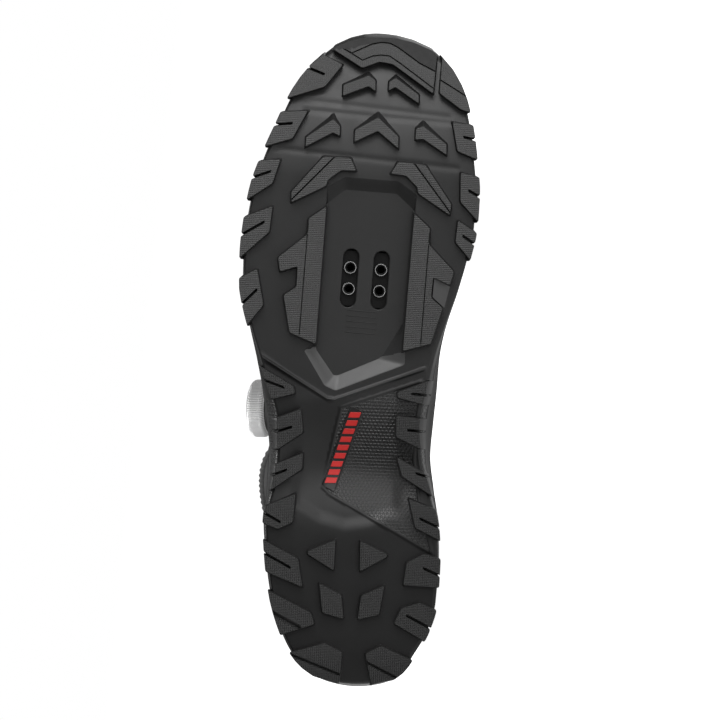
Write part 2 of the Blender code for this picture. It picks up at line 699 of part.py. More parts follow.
def cleat_plate(nylon):
    """The nylon plate that shows in the pocket, with its two long slots."""
    plan = plate_outline()
    levels = (PLATE_RECESS, PLATE_RECESS + PLATE_THICK)
    rings = [np.column_stack([plan, np.full(len(plan), z)]) for z in levels]
    plate = add_object("cleat_plate", joined_mesh("cleat_plate", [rings]), nylon)
    slots = []
    for sign in SIDES.values():
        centre = (SLOT_SHIFT, sign * BOLT_SPACING / 2)
        slots.append([slot_loop(centre, SLOT_LENGTH, SLOT_WIDTH, z)
                      for z in (PLATE_RECESS - MM, PLATE_RECESS + PLATE_THICK + MM)])
    cutter = add_object("slot_forms", joined_mesh("slot_forms", slots), None, cutter=True)
    boolean(plate, cutter, "DIFFERENCE")
    return plate


def cleat_nut(steel):
    """The steel nut plate above the slots, with four threaded bosses that reach down into them."""
    under = PLATE_RECESS + PLATE_THICK + FIT_GAP
    long_half = BOLT_ROW_SPACING / 2 + NUT_MARGIN
    wide_half = BOLT_SPACING / 2 + NUT_MARGIN
    corners = [(long_half, -wide_half), (long_half, wide_half), (-long_half, wide_half), (-long_half, -wide_half)]
    plan = [pocket_point(100 * u / POCKET_LENGTH, 100 * v / POCKET_WIDTH) for u, v in corners]
    rings = [[(x, y, z) for x, y in plan] for z in (under, under + NUT_THICK)]
    nut = add_object("cleat_nut", joined_mesh("cleat_nut", [rings]), steel)
    bosses, threads = [], []
    for u in (-BOLT_ROW_SPACING / 2, BOLT_ROW_SPACING / 2):
        for v in (-BOLT_SPACING / 2, BOLT_SPACING / 2):
            low = under - FIT_GAP - BOSS_DROP
            bosses.append([slot_loop((u, v), 2 * BOSS_RADIUS, 2 * BOSS_RADIUS, z, 7)
                           for z in (low, under + NUT_THICK / 2)])
            threads.append([slot_loop((u, v), 2 * THREAD_RADIUS, 2 * THREAD_RADIUS, z, 7)
                            for z in (low - MM, under + NUT_THICK + MM)])
    boolean(nut, add_object("boss_forms", joined_mesh("boss_forms", bosses), None, cutter=True), "UNION")
    boolean(nut, add_object("thread_forms", joined_mesh("thread_forms", threads), None, cutter=True), "DIFFERENCE")
    return nut


def nut_seat():
    """The room for the nut plate in the midsole."""
    under = PLATE_RECESS + PLATE_THICK
    long_half = SLOT_LENGTH / 2 + NUT_MARGIN
    wide_half = BOLT_SPACING / 2 + NUT_MARGIN + FIT_GAP
    corners = [(long_half, -wide_half), (long_half, wide_half), (-long_half, wide_half), (-long_half, -wide_half)]
    plan = [pocket_point(100 * u / POCKET_LENGTH, 100 * v / POCKET_WIDTH) for u, v in corners]
    rings = [[(x, y, z) for x, y in plan] for z in (under, under + NUT_THICK + 2 * FIT_GAP)]
    return add_object("nut_seat", joined_mesh("nut_seat", [rings]), None, cutter=True)


def midsole(foam):
    """The foam midsole: inside the rubber cup, stepping out over its rim, and flat on top."""
    stations, sides = loop_stations()
    rim = side_values(rim_height, stations, sides)
    top = stack_height(stations)
    inside = LUG_PROUD + RUBBER_WALL + FIT_GAP
    floor = tread_height(stations) + LUG_HEIGHT + RUBBER_FLOOR + FIT_GAP
    shelf = np.minimum(rim + FIT_GAP, top - 1.2 * MM)
    toe = smooth_step(77, 84, stations)
    flush = (1 - toe) * LUG_PROUD * 0.5 + toe * inside
    bottom = edge_ring(stations, sides, floor, inside)
    rings = cap_rings(bottom, lambda s, a: root_height(s, a) + RUBBER_FLOOR + FIT_GAP, (0.0, 0.35, 0.7))
    rings.append(bottom)
    rings.append(edge_ring(stations, sides, shelf, inside))
    rings.append(edge_ring(stations, sides, shelf, flush))
    rings.append(edge_ring(stations, sides, top - 0.8 * MM, flush))
    lid = edge_ring(stations, sides, top, flush + 0.5 * MM)
    lid[:, 2] = stack_height(np.clip(lid[:, 0] * 100 / LENGTH, 0, 100))
    rings.append(lid)
    rings += cap_rings(lid, lambda s, a: stack_height(s), (0.75, 0.4, 0.0))
    sole = add_object("midsole", loft_mesh("midsole", rings), foam)
    boolean(sole, plate_seat(), "DIFFERENCE")
    boolean(sole, nut_seat(), "DIFFERENCE")
    return sole


def last_value(name, station):
    """A column of the last at any station."""
    return curve_through(LAST_COLUMNS, LAST, name, station)


def last_point(station, side, turn):
    """A point of the last's surface: turn runs from 0 at the sole's edge to 100 at the ridge.

    The section is a quarter of a superellipse over the sole's edge, its corner rounder towards the heel.
    """
    station = np.asarray(station, float)
    turn = np.asarray(turn, float)
    angle = np.clip(turn, 0, 200) * math.pi / 200
    ledge = EDGE_LEDGE + (TOE_LEDGE - EDGE_LEDGE) * smooth_step(80, 90, station)
    grown = LENGTH / (LENGTH - 2 * TOE_LEDGE)
    shift = last_value("shift", station) * BALL_WIDTH / 100
    fade = np.clip(np.minimum(station, 100 - station) / 12, 0, 1) ** 0.5
    shift = shift * fade
    width = np.clip(half_width("top_" + side, station) - ledge * fade, 0, None)
    power = 2 / last_value("fullness", station)
    out = (width - SIDES[side] * shift) * np.abs(np.cos(angle)) ** power
    ridge = last_value("ridge", station) * INSTEP_HEIGHT / 100
    z = stack_height(station) + UPPER_LIFT + ridge * np.abs(np.sin(angle)) ** power
    x = LENGTH / 2 + (station / 100 - 0.5) * LENGTH / grown - heel_overhang(station)
    heel = np.clip((14 - station) / 14, 0, 1) ** 2
    rise = (z - stack_height(station)) / INSTEP_HEIGHT
    x = x + heel * (7 * MM * rise**2 - 5 * MM * np.sin(np.clip(rise / 0.7, 0, 1) * math.pi))
    return np.stack([x, shift + SIDES[side] * out, z], axis=-1)


def upper_stations():
    """Stations of the upper's sections, closer at heel and toe, one of them at the throat's front."""
    even = 50 * (1 - np.cos(np.linspace(0, math.pi, UPPER_STATIONS + 1)))
    nearest = np.argmin(np.abs(even - THROAT_FRONT))
    even[nearest] = THROAT_FRONT
    return even


def wall_grid(stations, steps, offset=0.0):
    """Both walls of the upper, from edge to edge: lateral edge, up to the top line, and the same medially.

    The grid is stations by points; past the throat's front both walls end on the ridge.
    """
    share = np.linspace(0, 1, steps + 1)
    wrap = np.where(stations >= THROAT_FRONT, 100.0, last_value("wrap", stations))
    sides = {}
    for side in SIDES:
        points = np.array([last_point(np.full(steps + 1, s), side, w * share) for s, w in zip(stations, wrap)])
        pad = COLLAR_PAD * smooth_step(44, 34, stations)[:, None] * np.sin(math.pi * smooth_step(0.62, 1.18, share))
        if side == "lateral":
            flare = smooth_step(20, 33, stations) * smooth_step(41, 35, stations)
            pad = pad + ANKLE_FLARE * flare[:, None] * share**2
        points = points + grid_normals(points, SIDES[side]) * pad[..., None]
        sides[side] = points + grid_normals(points, SIDES[side]) * offset
    return sides


def grid_normals(points, sign):
    """Unit normals of a grid of points, turned away from the shoe's middle."""
    along = np.gradient(points, axis=0)
    up = np.gradient(points, axis=1)
    normal = np.cross(along, up) * -sign
    length = np.linalg.norm(normal, axis=-1, keepdims=True)
    return normal / np.where(length > 1e-12, length, 1)


def upper_sheet(name, offset=0.0):
    """The upper's surface as an open mesh."""
    stations = upper_stations()
    sides = wall_grid(stations, UPPER_STEPS, offset)
    shape = bmesh.new()
    for side, points in sides.items():
        grid = [[shape.verts.new(p) for p in row] for row in points]
        for a, b in zip(grid, grid[1:]):
            for i in range(UPPER_STEPS):
                shape.faces.new((a[i], a[i + 1], b[i + 1], b[i]))
    bmesh.ops.remove_doubles(shape, verts=shape.verts, dist=2e-5)
    bmesh.ops.recalc_face_normals(shape, faces=shape.faces)
    outward = sum((f.normal.y * f.calc_center_median().y) * f.calc_area() for f in shape.faces)
    if outward < 0:
        bmesh.ops.reverse_faces(shape, faces=shape.faces)
    data = bpy.data.meshes.new(name)
    shape.to_mesh(data)
    shape.free()
    return data


def shell(obj, thickness, offset=-1.0):
    """A wall of even thickness on an open sheet."""
    modifier = obj.modifiers.new("wall", "SOLIDIFY")
    modifier.thickness = thickness
    modifier.offset = offset
    modifier.use_even_offset = True
    modifier.use_rim = True


def upper(synthetic):
    """The upper: one hollow wall, open at the throat, the collar and underneath."""
    made = add_object("upper", upper_sheet("upper"), synthetic)
    shell(made, UPPER_WALL)
    return made


def upper_clearance(side):
    """A solid from just outside one wall of the upper to deep inside it, which cuts what is seated there."""
    points = wall_grid(upper_stations(), UPPER_STEPS, FIT_GAP)[side][2:-2]
    middle = points.copy()
    middle[..., 1] = 0
    middle[..., 2] = points[..., 2].mean(axis=1, keepdims=True)
    inner = points + (middle - points) * CLEARANCE_SHARE
    name = "upper_clearance_" + side
    rings = [np.concatenate([out, back[::-1]]) for out, back in zip(points, inner)]
    return add_object(name, joined_mesh(name, [rings]), None, cutter=True)


def tongue(padding):
    """The tongue: a padded sheet under the throat's edges, standing up above the collar."""
    stations = np.linspace(34.5, 77, 16)
    wrap = np.where(stations >= THROAT_FRONT, 90.0, last_value("wrap", stations))
    low = np.clip(wrap - TONGUE_TUCK, 50, 84)
    low = np.maximum(low, 78 - 28 * smooth_step(34, 42, stations))
    share = np.linspace(0, 1, 6)
    rows = []
    for s, start in zip(stations, low):
        lateral = last_point(np.full(6, s), "lateral", start + (100 - start) * share)
        medial = last_point(np.full(6, s), "medial", start + (100 - start) * share)
        rows.append(np.concatenate([lateral, medial[-2::-1]]))
    points = np.array(rows)
    normal = grid_normals(points, -1)
    points = points - normal * (UPPER_WALL + TONGUE_GAP)
    shape = bmesh.new()
    grid = [[shape.verts.new(p) for p in row] for row in points]
    for a, b in zip(grid, grid[1:]):
        for i in range(len(a) - 1):
            shape.faces.new((a[i], a[i + 1], b[i + 1], b[i]))
    bmesh.ops.recalc_face_normals(shape, faces=shape.faces)
    if sum(f.normal.z for f in shape.faces) < 0:
        bmesh.ops.reverse_faces(shape, faces=shape.faces)
    data = bpy.data.meshes.new("tongue")
    shape.to_mesh(data)
    shape.free()
    made = add_object("tongue", data, padding)
    shell(made, TONGUE_THICK)
    return made


def insole(foam):
    """The insole: it lies on the midsole, inside the upper's wall."""
    stations, sides = loop_stations()
    edge = np.array([last_point(s, side, 0.0) for s, side in zip(stations, sides)])
    plan = inset_loop(edge[:, :2], UPPER_WALL + INSOLE_GAP)
    station = np.clip(plan[:, 0] * 100 / LENGTH, 0, 100)
    low = np.column_stack([plan, stack_height(station) + INSOLE_LIFT])
    high = low + np.array([0, 0, INSOLE_THICK])
    rings = cap_rings(low, lambda s, a: stack_height(s) + INSOLE_LIFT, (0.0, 0.4, 0.75))
    rings += [low, high]
    rings += cap_rings(high, lambda s, a: stack_height(s) + INSOLE_LIFT + INSOLE_THICK, (0.5, 0.0))
    return add_object("insole", loft_mesh("insole", rings), foam)


def frame_on_upper(side, station, turn):
    """A point of the upper's surface with its outward, forward and upward directions."""
    step = 0.5
    here = last_point(station, side, turn)
    forward = Vector(last_point(station + step, side, turn) - last_point(station - step, side, turn)).normalized()
    up = Vector(last_point(station, side, turn + step) - last_point(station, side, turn - step)).normalized()
    outward = forward.cross(up).normalized()
    if outward.y * SIDES[side] < 0:
        outward = -outward
    up = outward.cross(forward).normalized()
    if up.z < 0:
        up = -up
    return Vector(here), outward, forward, up


def place_on_upper(points, frame):
    """Local points (forward, up, outward) placed on a frame of the upper."""
    here, outward, forward, up = frame
    return [tuple(here + forward * a + up * b + outward * c) for a, b, c in points]


def round_loop(radius, height, count, dent=0.0):
    """A round loop about the outward axis, with every second pair of points dented for knurling."""
    turn = np.linspace(0, 2 * math.pi, count, endpoint=False)
    size = radius - dent * (np.arange(count) % 2)
    return [(r * math.cos(a), r * math.sin(a), height) for r, a in zip(size, turn)]


def dial(housing_material, knob_material):
    """The lace dial: a housing seated on the lateral wall and a knurled knob on it."""
    frame = frame_on_upper("lateral", DIAL_STATION, DIAL_WRAP)
    count = 2 * DIAL_RIBS
    housing = [(DIAL_BASE_RADIUS, -3.0 * MM), (DIAL_BASE_RADIUS, DIAL_BASE_HEIGHT - 0.8 * MM),
               (DIAL_BASE_RADIUS - MM, DIAL_BASE_HEIGHT)]
    rings = [place_on_upper(round_loop(r, h, 32), frame) for r, h in housing]
    base = add_object("dial_base", joined_mesh("dial_base", [rings]), housing_material)
    boolean(base, bpy.data.objects["upper_clearance_lateral"], "DIFFERENCE")
    low = DIAL_BASE_HEIGHT + FIT_GAP
    knob = (
        (DIAL_RADIUS - 1.4 * MM, low, 0.0),
        (DIAL_RADIUS - 0.2 * MM, low + 0.8 * MM, RIB_DEPTH),
        (DIAL_RADIUS, low + DIAL_HEIGHT * 0.6, RIB_DEPTH),
        (DIAL_RADIUS - 1.2 * MM, low + DIAL_HEIGHT - 0.9 * MM, RIB_DEPTH),
        (DIAL_RADIUS - 3.2 * MM, low + DIAL_HEIGHT, 0.0),
    )
    rings = [place_on_upper(round_loop(r, h, count, dent), frame) for r, h, dent in knob]
    add_object("dial_knob", joined_mesh("dial_knob", [rings]), knob_material)


def lace_point(station, side, turn, lift):
    """A point above the upper's surface."""
    here, outward, _, _ = frame_on_upper(side, station, turn)
    return here + outward * lift


def guide_turns():
    """Where each guide stands: side, station and turn on the upper."""
    turns = []
    for row in named_rows(GUIDE_COLUMNS, GUIDES):
        wrap = float(last_value("wrap", row["station"]))
        turns.append((row["side"], row["station"], wrap - row["setback"]))
    return turns


def lace_route():
    """The lace: out of the housing, over the tongue to each guide in turn, and into the last one."""
    lift = LACE_RADIUS + LACE_LIFT
    spread = 100 * GUIDE_LENGTH * 0.27 / LENGTH
    stops = []
    for side, station, turn in guide_turns():
        stops.append((side, station - spread, station + spread, turn))
    points = []
    for i, (side, back, front, turn) in enumerate(stops):
        order = (front, back) if i else (back,)
        points += [(side, s, turn) for s in order]
    start = frame_on_upper("lateral", DIAL_STATION, DIAL_WRAP)
    route = []
    for (side_a, s_a, t_a), (side_b, s_b, t_b) in zip(points, points[1:]):
        if side_a == side_b:
            route += [lace_point(s, side_a, t_a - 1.5, lift) for s in np.linspace(s_a, s_b, 4)[1:-1]]
            continue
        span_a, span_b = 100 - t_a, 100 - t_b
        for share in np.linspace(0, 1, 10):
            along = share * (span_a + span_b)
            station = s_a + (s_b - s_a) * share
            if along <= span_a:
                route.append(lace_point(station, side_a, min(t_a + along, 99.9), lift))
            else:
                route.append(lace_point(station, side_b, min(200 - t_a - along, 99.9), lift))
    here, outward, forward, up = start
    exit_point = here + up * (DIAL_BASE_RADIUS + 2 * FIT_GAP) + outward * 1.6 * MM
    last_side, last_front, last_back, last_turn = stops[-1][0], stops[-1][2], stops[-1][1], stops[-1][3]
    tail = []
    span = 100 - last_turn
    lateral_turn = DIAL_WRAP + 22
    full = span + 100 - lateral_turn
    for share in np.linspace(0, 1, 9):
        along = share * full
        station = last_back + (DIAL_STATION + 0.5 - last_back) * share
        if along <= span:
            tail.append(lace_point(station, last_side, min(last_turn + along, 99.9), lift))
        else:
            tail.append(lace_point(station, "lateral", min(200 - last_turn - along, 99.9), lift))
    return route + tail + [exit_point]


def tube_rings(route, radius, count=5):
    """Round rings along a route, each square to it and turned with its neighbours."""
    route = [Vector(point) for point in route]
    ahead = [(b - a).normalized() for a, b in zip(route, route[1:])]
    side = ahead[0].orthogonal().normalized()
    rings = []
    for i, point in enumerate(route):
        tangent = (ahead[max(i - 1, 0)] + ahead[min(i, len(ahead) - 1)]).normalized()
        side = (side - tangent * side.dot(tangent)).normalized()
        other = tangent.cross(side)
        turn = [2 * math.pi * k / count for k in range(count)]
        rings.append([tuple(point + (side * math.cos(a) + other * math.sin(a)) * radius) for a in turn])
    return rings


def lace(cord):
    """The lace as one round cord along its route."""
    return add_object("lace", joined_mesh("lace", [tube_rings(lace_route(), LACE_RADIUS)]), cord)


def lace_guides(moulding):
    """Low moulded guides along the throat, each open where the lace turns through it."""
    for i, (side, station, turn) in enumerate(guide_turns()):
        frame = frame_on_upper(side, station, turn - 3)
        long_half, deep_half = GUIDE_LENGTH / 2, GUIDE_DEPTH / 2
        rings = []
        for height, draw in ((-2 * MM, 0.0), (GUIDE_HEIGHT * 0.6, 0.0), (GUIDE_HEIGHT, 1.2 * MM)):
            a, b = long_half - draw, deep_half - draw
            loop = [(a, -b * 0.5, height), (a, b, height), (-a, b, height), (-a, -b * 0.5, height),
                    (-a * 0.5, -b, height), (a * 0.5, -b, height)]
            rings.append(place_on_upper(loop, frame))
        made = add_object(f"lace_guide_{i + 1}", joined_mesh(f"lace_guide_{i + 1}", [rings]), moulding)
        boolean(made, bpy.data.objects["upper_clearance_" + side], "DIFFERENCE")
        boolean(made, bpy.data.objects["lace_channel"], "DIFFERENCE")


def lace_channel():
    """The lace's route as a wider tube, which cuts the guides."""
    rings = tube_rings(lace_route(), LACE_RADIUS + FIT_GAP)
    return add_object("lace_channel", joined_mesh("lace_channel", [rings]), None, cutter=True)


def triangles_of(obj):
    """The object's evaluated triangles, as an array of corner points."""
    data = obj.evaluated_get(bpy.context.evaluated_depsgraph_get()).to_mesh()
    data.calc_loop_triangles()
    points = np.array([v.co[:] for v in data.vertices])
    corners = np.array([t.vertices[:] for t in data.loop_triangles])
    return points[corners]


def resting_matrix():
    """The pose in which the shoe lies on its inner side.

    It rests on the face of its convex hull that points to the inner side and has the centre of mass
    over it. That face becomes the floor, the toe points along +X and the origin lies under the middle.
    """
    points, moment, mass = [], np.zeros(3), 0.0
    for obj in COLLECTION.objects:
        if obj.type != "MESH":
            continue
        corners = triangles_of(obj)
        volumes = np.einsum("ij,ij->i", corners[:, 0], np.cross(corners[:, 1], corners[:, 2])) / 6
        weight = volumes * DENSITY[obj.data.materials[0].name]
        moment += (weight[:, None] * corners.sum(1) / 4).sum(0)
        mass += weight.sum()
        points.append(corners.reshape(-1, 3))
    centre = Vector(moment / mass)
    points = np.unique(np.round(np.concatenate(points), 6), axis=0)
    hull = bmesh.new()
    for point in points:
        hull.verts.new(point)
    bmesh.ops.convex_hull(hull, input=hull.verts)
    best, most = None, -1.0
    for face in hull.faces:
        normal = face.normal
        if normal.y < 0.8 or len(face.verts) != 3:
            continue
        a, b, c = (v.co for v in face.verts)
        foot = centre - normal * (centre - a).dot(normal)
        inside = min((q - p).cross(foot - p).dot(normal) for p, q in ((a, b), (b, c), (c, a)))
        if inside > most:
            best, most = normal.copy(), inside
    hull.free()
    down = best.normalized()
    ahead = (Vector((1, 0, 0)) - down * down.x).normalized()
    turn = Matrix((ahead, ahead.cross(down), -down)).to_4x4()
    placed = points @ np.array(turn.to_3x3()).T
    low, high = placed.min(0), placed.max(0)
    return Matrix.Translation((-(low[0] + high[0]) / 2, -(low[1] + high[1]) / 2, -low[2])) @ turn


def lay_down():
    """One empty carries every piece and cutter into the resting pose."""
    bpy.context.view_layer.update()
    pose = bpy.data.objects.new("resting_pose", None)
    COLLECTION.objects.link(pose)
    matrix = resting_matrix()
    for obj in [*COLLECTION.objects, *CUTTERS.objects]:
        if obj is not pose:
            obj.parent = pose
    pose.matrix_world = matrix


def main():
    for obj in list(bpy.data.objects):
        bpy.data.objects.remove(obj)
    bpy.context.scene.collection.children.link(COLLECTION)
    bpy.context.scene.collection.children.link(CUTTERS)
    rubber = material("rubber", (0.03, 0.03, 0.032), 0.65)
    foam = material("midsole_foam", (0.06, 0.06, 0.063), 0.7)
    nylon = material("nylon", (0.035, 0.035, 0.037), 0.45)
    steel = material("steel", (0.35, 0.35, 0.36), 0.35, 0.9)
    synthetic = material("synthetic", (0.02, 0.02, 0.021), 0.6)
    padding = material("padding", (0.018, 0.018, 0.019), 0.8)
    lining = material("insole_fabric", (0.03, 0.03, 0.031), 0.85)
    moulding = material("black_plastic", (0.015, 0.015, 0.016), 0.4)
    silver = material("silver_plastic", (0.75, 0.76, 0.78), 0.25, 0.3)
    cord = material("lace_cord", (0.03, 0.03, 0.03), 0.5)
    outsole(rubber)
    cleat_plate(nylon)
    cleat_nut(steel)
    midsole(foam)
    upper(synthetic)
    for side in SIDES:
        upper_clearance(side)
    tongue(padding)
    insole(lining)
    dial(moulding, silver)
    lace_channel()
    lace_guides(moulding)
    lace(cord)
    lay_down()


main()
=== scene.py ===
"""Looks of the right-foot trail cycling shoe: fine surfaces over the CAD frame, materials, lights and camera.

Every surface is worked out in the shoe's own axes in millimetres: X from heel to toe, Y to the inner (medial)
side, Z up from the walking plane. The record's mounts give the pose in which the shoe lies on its inner side.
"""

import json
import math

import bmesh
import bpy
import numpy as np
from mathutils import Matrix, Vector
from mathutils.geometry import delaunay_2d_cdt


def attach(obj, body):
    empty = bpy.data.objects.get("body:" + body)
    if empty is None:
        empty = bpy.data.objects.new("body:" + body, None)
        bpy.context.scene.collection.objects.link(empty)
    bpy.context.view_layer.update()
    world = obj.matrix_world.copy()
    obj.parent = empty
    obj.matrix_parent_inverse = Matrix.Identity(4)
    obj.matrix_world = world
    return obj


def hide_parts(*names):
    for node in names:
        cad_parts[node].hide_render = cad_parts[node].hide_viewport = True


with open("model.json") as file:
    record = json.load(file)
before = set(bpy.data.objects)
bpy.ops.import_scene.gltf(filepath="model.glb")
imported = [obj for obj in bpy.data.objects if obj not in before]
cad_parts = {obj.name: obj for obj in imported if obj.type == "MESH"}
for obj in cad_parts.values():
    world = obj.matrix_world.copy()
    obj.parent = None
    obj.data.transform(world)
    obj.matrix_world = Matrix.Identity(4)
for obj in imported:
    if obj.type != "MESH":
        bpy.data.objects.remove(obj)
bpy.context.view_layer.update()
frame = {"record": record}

# The shoe's pose: it lies on its inner side, with the sole to the viewer. The record names two flat faces of
# the tread. Their places in the shoe and their shared axis, down through the tread, give the shoe's axes.
MM = 0.001
HEEL_FACE = Vector((59.0, 6.0, 0.0))
BALL_FACE = Vector((203.0, -52.0, 0.0))
mounts = {m["name"]: m for m in frame["record"]["mounts"]}
heel_at, ball_at = (Vector(mounts[name]["pos_m"]) for name in ("heel_tread", "ball_tread"))
up_axis = -Vector(mounts["heel_tread"]["axis"]).normalized()
apart = BALL_FACE - HEEL_FACE
aside = math.atan2(apart.y, apart.x)
along = ball_at - heel_at
along = (along - up_axis * along.dot(up_axis)).normalized()
x_axis = (along * math.cos(aside) - up_axis.cross(along) * math.sin(aside)).normalized()
AXES = Matrix((x_axis, up_axis.cross(x_axis), up_axis)).transposed()
ORIGIN = heel_at - AXES @ (HEEL_FACE * MM)
TO_WORLD = np.array(AXES) * MM

# Camera: square on to the sole from 3 m, with the photograph's angle to the shoe, rolled so that the toe is
# up. Its long lens keeps the outline nearly free of perspective.
photo_up = Vector((0.9993, -0.0375, 0.0))
photo_right = Vector((0.0375, 0.9993, 0.0))
photo_back = photo_right.cross(photo_up)
middle_of_view = Vector((0.1479, -0.0033, 0.0))
camera_data = bpy.data.cameras.new("camera")
camera_data.lens = 331.1
camera_data.sensor_width = 36
camera_data.clip_end = 50
camera = bpy.data.objects.new("camera", camera_data)
bpy.context.scene.collection.objects.link(camera)
camera_turn = AXES @ Matrix((photo_right, photo_up, photo_back)).transposed()
camera_place = ORIGIN + AXES @ (middle_of_view + photo_back * 3.0)
camera.matrix_world = Matrix.Translation(camera_place) @ camera_turn.to_4x4()
bpy.context.scene.camera = camera

# Tread floor: the sheet of moulded rubber between the lugs, with the cleat pocket's opening cut in it. A
# raised bead crosses the waist, a ridge frames the knurled waist panel, and shallow flex grooves and a step
# at the heel's breast break the rest.
LENGTH = 296.0
BALL_WIDTH = 108.0
HEEL_STACK = 28.0
LUG_HEIGHT = 4.5
# Plan of the sole: station in % of LENGTH, half widths of tread and top edge in % of BALL_WIDTH
PLAN = np.array([
    (0.0, 0.0, 0.0, 0.0, 0.0), (1.0, 16.2, 15.7, 14.4, 13.9), (2.7, 23.6, 21.3, 21.8, 19.4),
    (5.0, 29.0, 25.3, 27.1, 23.4), (8.5, 33.8, 30.4, 32.4, 28.7), (13.5, 38.0, 33.8, 37.0, 32.4),
    (20.0, 40.6, 34.1, 40.0, 33.3), (25.0, 41.5, 32.9, 41.5, 32.8), (30.0, 38.6, 29.1, 40.9, 30.6),
    (35.5, 36.9, 24.6, 40.6, 28.7), (40.5, 37.5, 23.1, 42.4, 29.4), (45.5, 42.1, 25.3, 44.6, 30.3),
    (50.5, 47.2, 28.4, 47.6, 30.9), (56.0, 52.5, 33.5, 50.7, 33.3), (61.0, 55.4, 38.3, 52.7, 37.0),
    (66.0, 55.6, 42.1, 52.8, 40.0), (71.0, 54.5, 44.6, 51.7, 42.0), (76.0, 52.4, 45.0, 49.4, 42.4),
    (81.0, 48.0, 43.6, 45.4, 41.3), (86.0, 42.4, 41.5, 40.4, 39.3), (90.5, 37.2, 38.4, 35.2, 36.4),
    (94.5, 30.2, 33.1, 28.7, 31.5), (97.3, 22.2, 26.2, 20.9, 25.0), (99.0, 13.9, 16.7, 13.0, 15.7),
    (100.0, 0.0, 0.0, 0.0, 0.0),
])
PLAN_COLUMN = {"tread_lateral": 1, "tread_medial": 2, "top_lateral": 3, "top_medial": 4}

# Side view: stack, lateral and medial rim of the rubber, in % of HEEL_STACK above the tread
SIDE = np.array([
    (0.0, 100.0, 72.0, 72.0), (12.0, 100.0, 58.0, 58.0), (25.0, 97.0, 50.0, 46.0), (36.0, 88.0, 66.0, 38.0),
    (45.0, 78.0, 60.0, 38.0), (58.0, 65.0, 46.0, 44.0), (70.0, 61.0, 44.0, 44.0), (82.0, 60.0, 46.0, 46.0),
    (92.0, 57.0, 57.0, 57.0), (100.0, 54.0, 54.0, 54.0),
])


def curve_through(table, column, station):
    """A table's column at any station: monotone cubics over stations spread by an arc cosine."""
    knots = np.arccos(1 - 2 * table[:, 0] / 100) / math.pi
    at = np.arccos(1 - 2 * np.clip(np.asarray(station, float), 0, 100) / 100) / math.pi
    step = np.diff(knots)
    slope = np.diff(table[:, column]) / step
    mean = np.zeros(len(knots))
    same = slope[:-1] * slope[1:] > 0
    before, after = slope[:-1][same], slope[1:][same]
    mean[1:-1][same] = 2 * before * after / (before + after)
    mean[0], mean[-1] = slope[0], slope[-1]
    index = np.clip(np.searchsorted(knots, at, side="right") - 1, 0, len(step) - 1)
    share = (at - knots[index]) / step[index]
    rise = share**2 * (3 - 2 * share)
    bend = step[index] * (mean[index] * share * (1 - share) ** 2 - mean[index + 1] * share**2 * (1 - share))
    return table[index, column] * (1 - rise) + table[index + 1, column] * rise + bend


def smooth_step(low, high, value):
    """0 at low, 1 at high and an S curve between."""
    share = np.clip((np.asarray(value, float) - low) / (high - low), 0, 1)
    return share * share * (3 - 2 * share)


def half_width(name, station):
    """A half width of the plan, in mm."""
    return curve_through(PLAN, PLAN_COLUMN[name], station) * BALL_WIDTH / 100


def tread_height(station):
    """The lugs' ground faces: toe spring, heel bevel and the arch."""
    station = np.asarray(station, float)
    toe = 20.0 * np.clip((station - 78) / 22, 0, 1) ** 1.8
    heel = 4.0 * np.clip((6 - station) / 6, 0, 1) ** 2
    arch = 3.0 * np.sin(math.pi * np.clip((station - 26) / 18, 0, 1)) ** 2
    return toe + heel + arch


def stack_height(station):
    """The sole's top, where it meets the upper."""
    return tread_height(station) + curve_through(SIDE, 1, station) * HEEL_STACK / 100


def across_share(x, y):
    """0 on the tread's centre line and 1 at its edge."""
    station = np.clip(x * 100 / LENGTH, 0.5, 99.5)
    lateral, medial = half_width("tread_lateral", station), half_width("tread_medial", station)
    return np.clip(np.abs(y - (medial - lateral) / 2) / ((medial + lateral) / 2), 0, 1)


def root_height(x, y):
    """The underside between the lugs, hollow in the waist."""
    station = np.clip(x * 100 / LENGTH, 0, 100)
    waist = np.sin(math.pi * np.clip((station - 23) / 21, 0, 1)) ** 2
    return tread_height(station) + LUG_HEIGHT + 4.0 * waist * (1 - across_share(x, y) ** 2)


def inset_loop(loop, distance):
    """A closed plan loop moved inwards along its own normals."""
    tangent = np.roll(loop, -1, 0) - np.roll(loop, 1, 0)
    tangent /= np.linalg.norm(tangent, axis=1)[:, None]
    inward = np.stack([tangent[:, 1], -tangent[:, 0]], axis=1)
    if ((loop.mean(0) - loop) * inward).sum() < 0:
        inward = -inward
    return loop + inward * np.broadcast_to(distance, len(loop))[:, None]


# The sole's outline runs from heel to toe on the lateral side and back on the medial side, closer at both
# ends
LOOP_COUNT = 300
forward_stations = 50 * (1 - np.cos(np.linspace(0, math.pi, LOOP_COUNT + 1)))
LOOP_STATION = np.concatenate([forward_stations, forward_stations[-2:0:-1]])
LOOP_SIGN = np.concatenate([-np.ones(LOOP_COUNT + 1), np.ones(LOOP_COUNT - 1)])


def by_side(lateral, medial):
    """Values round the sole's loop, taken from the lateral or the medial side."""
    return np.where(LOOP_SIGN < 0, lateral, medial)


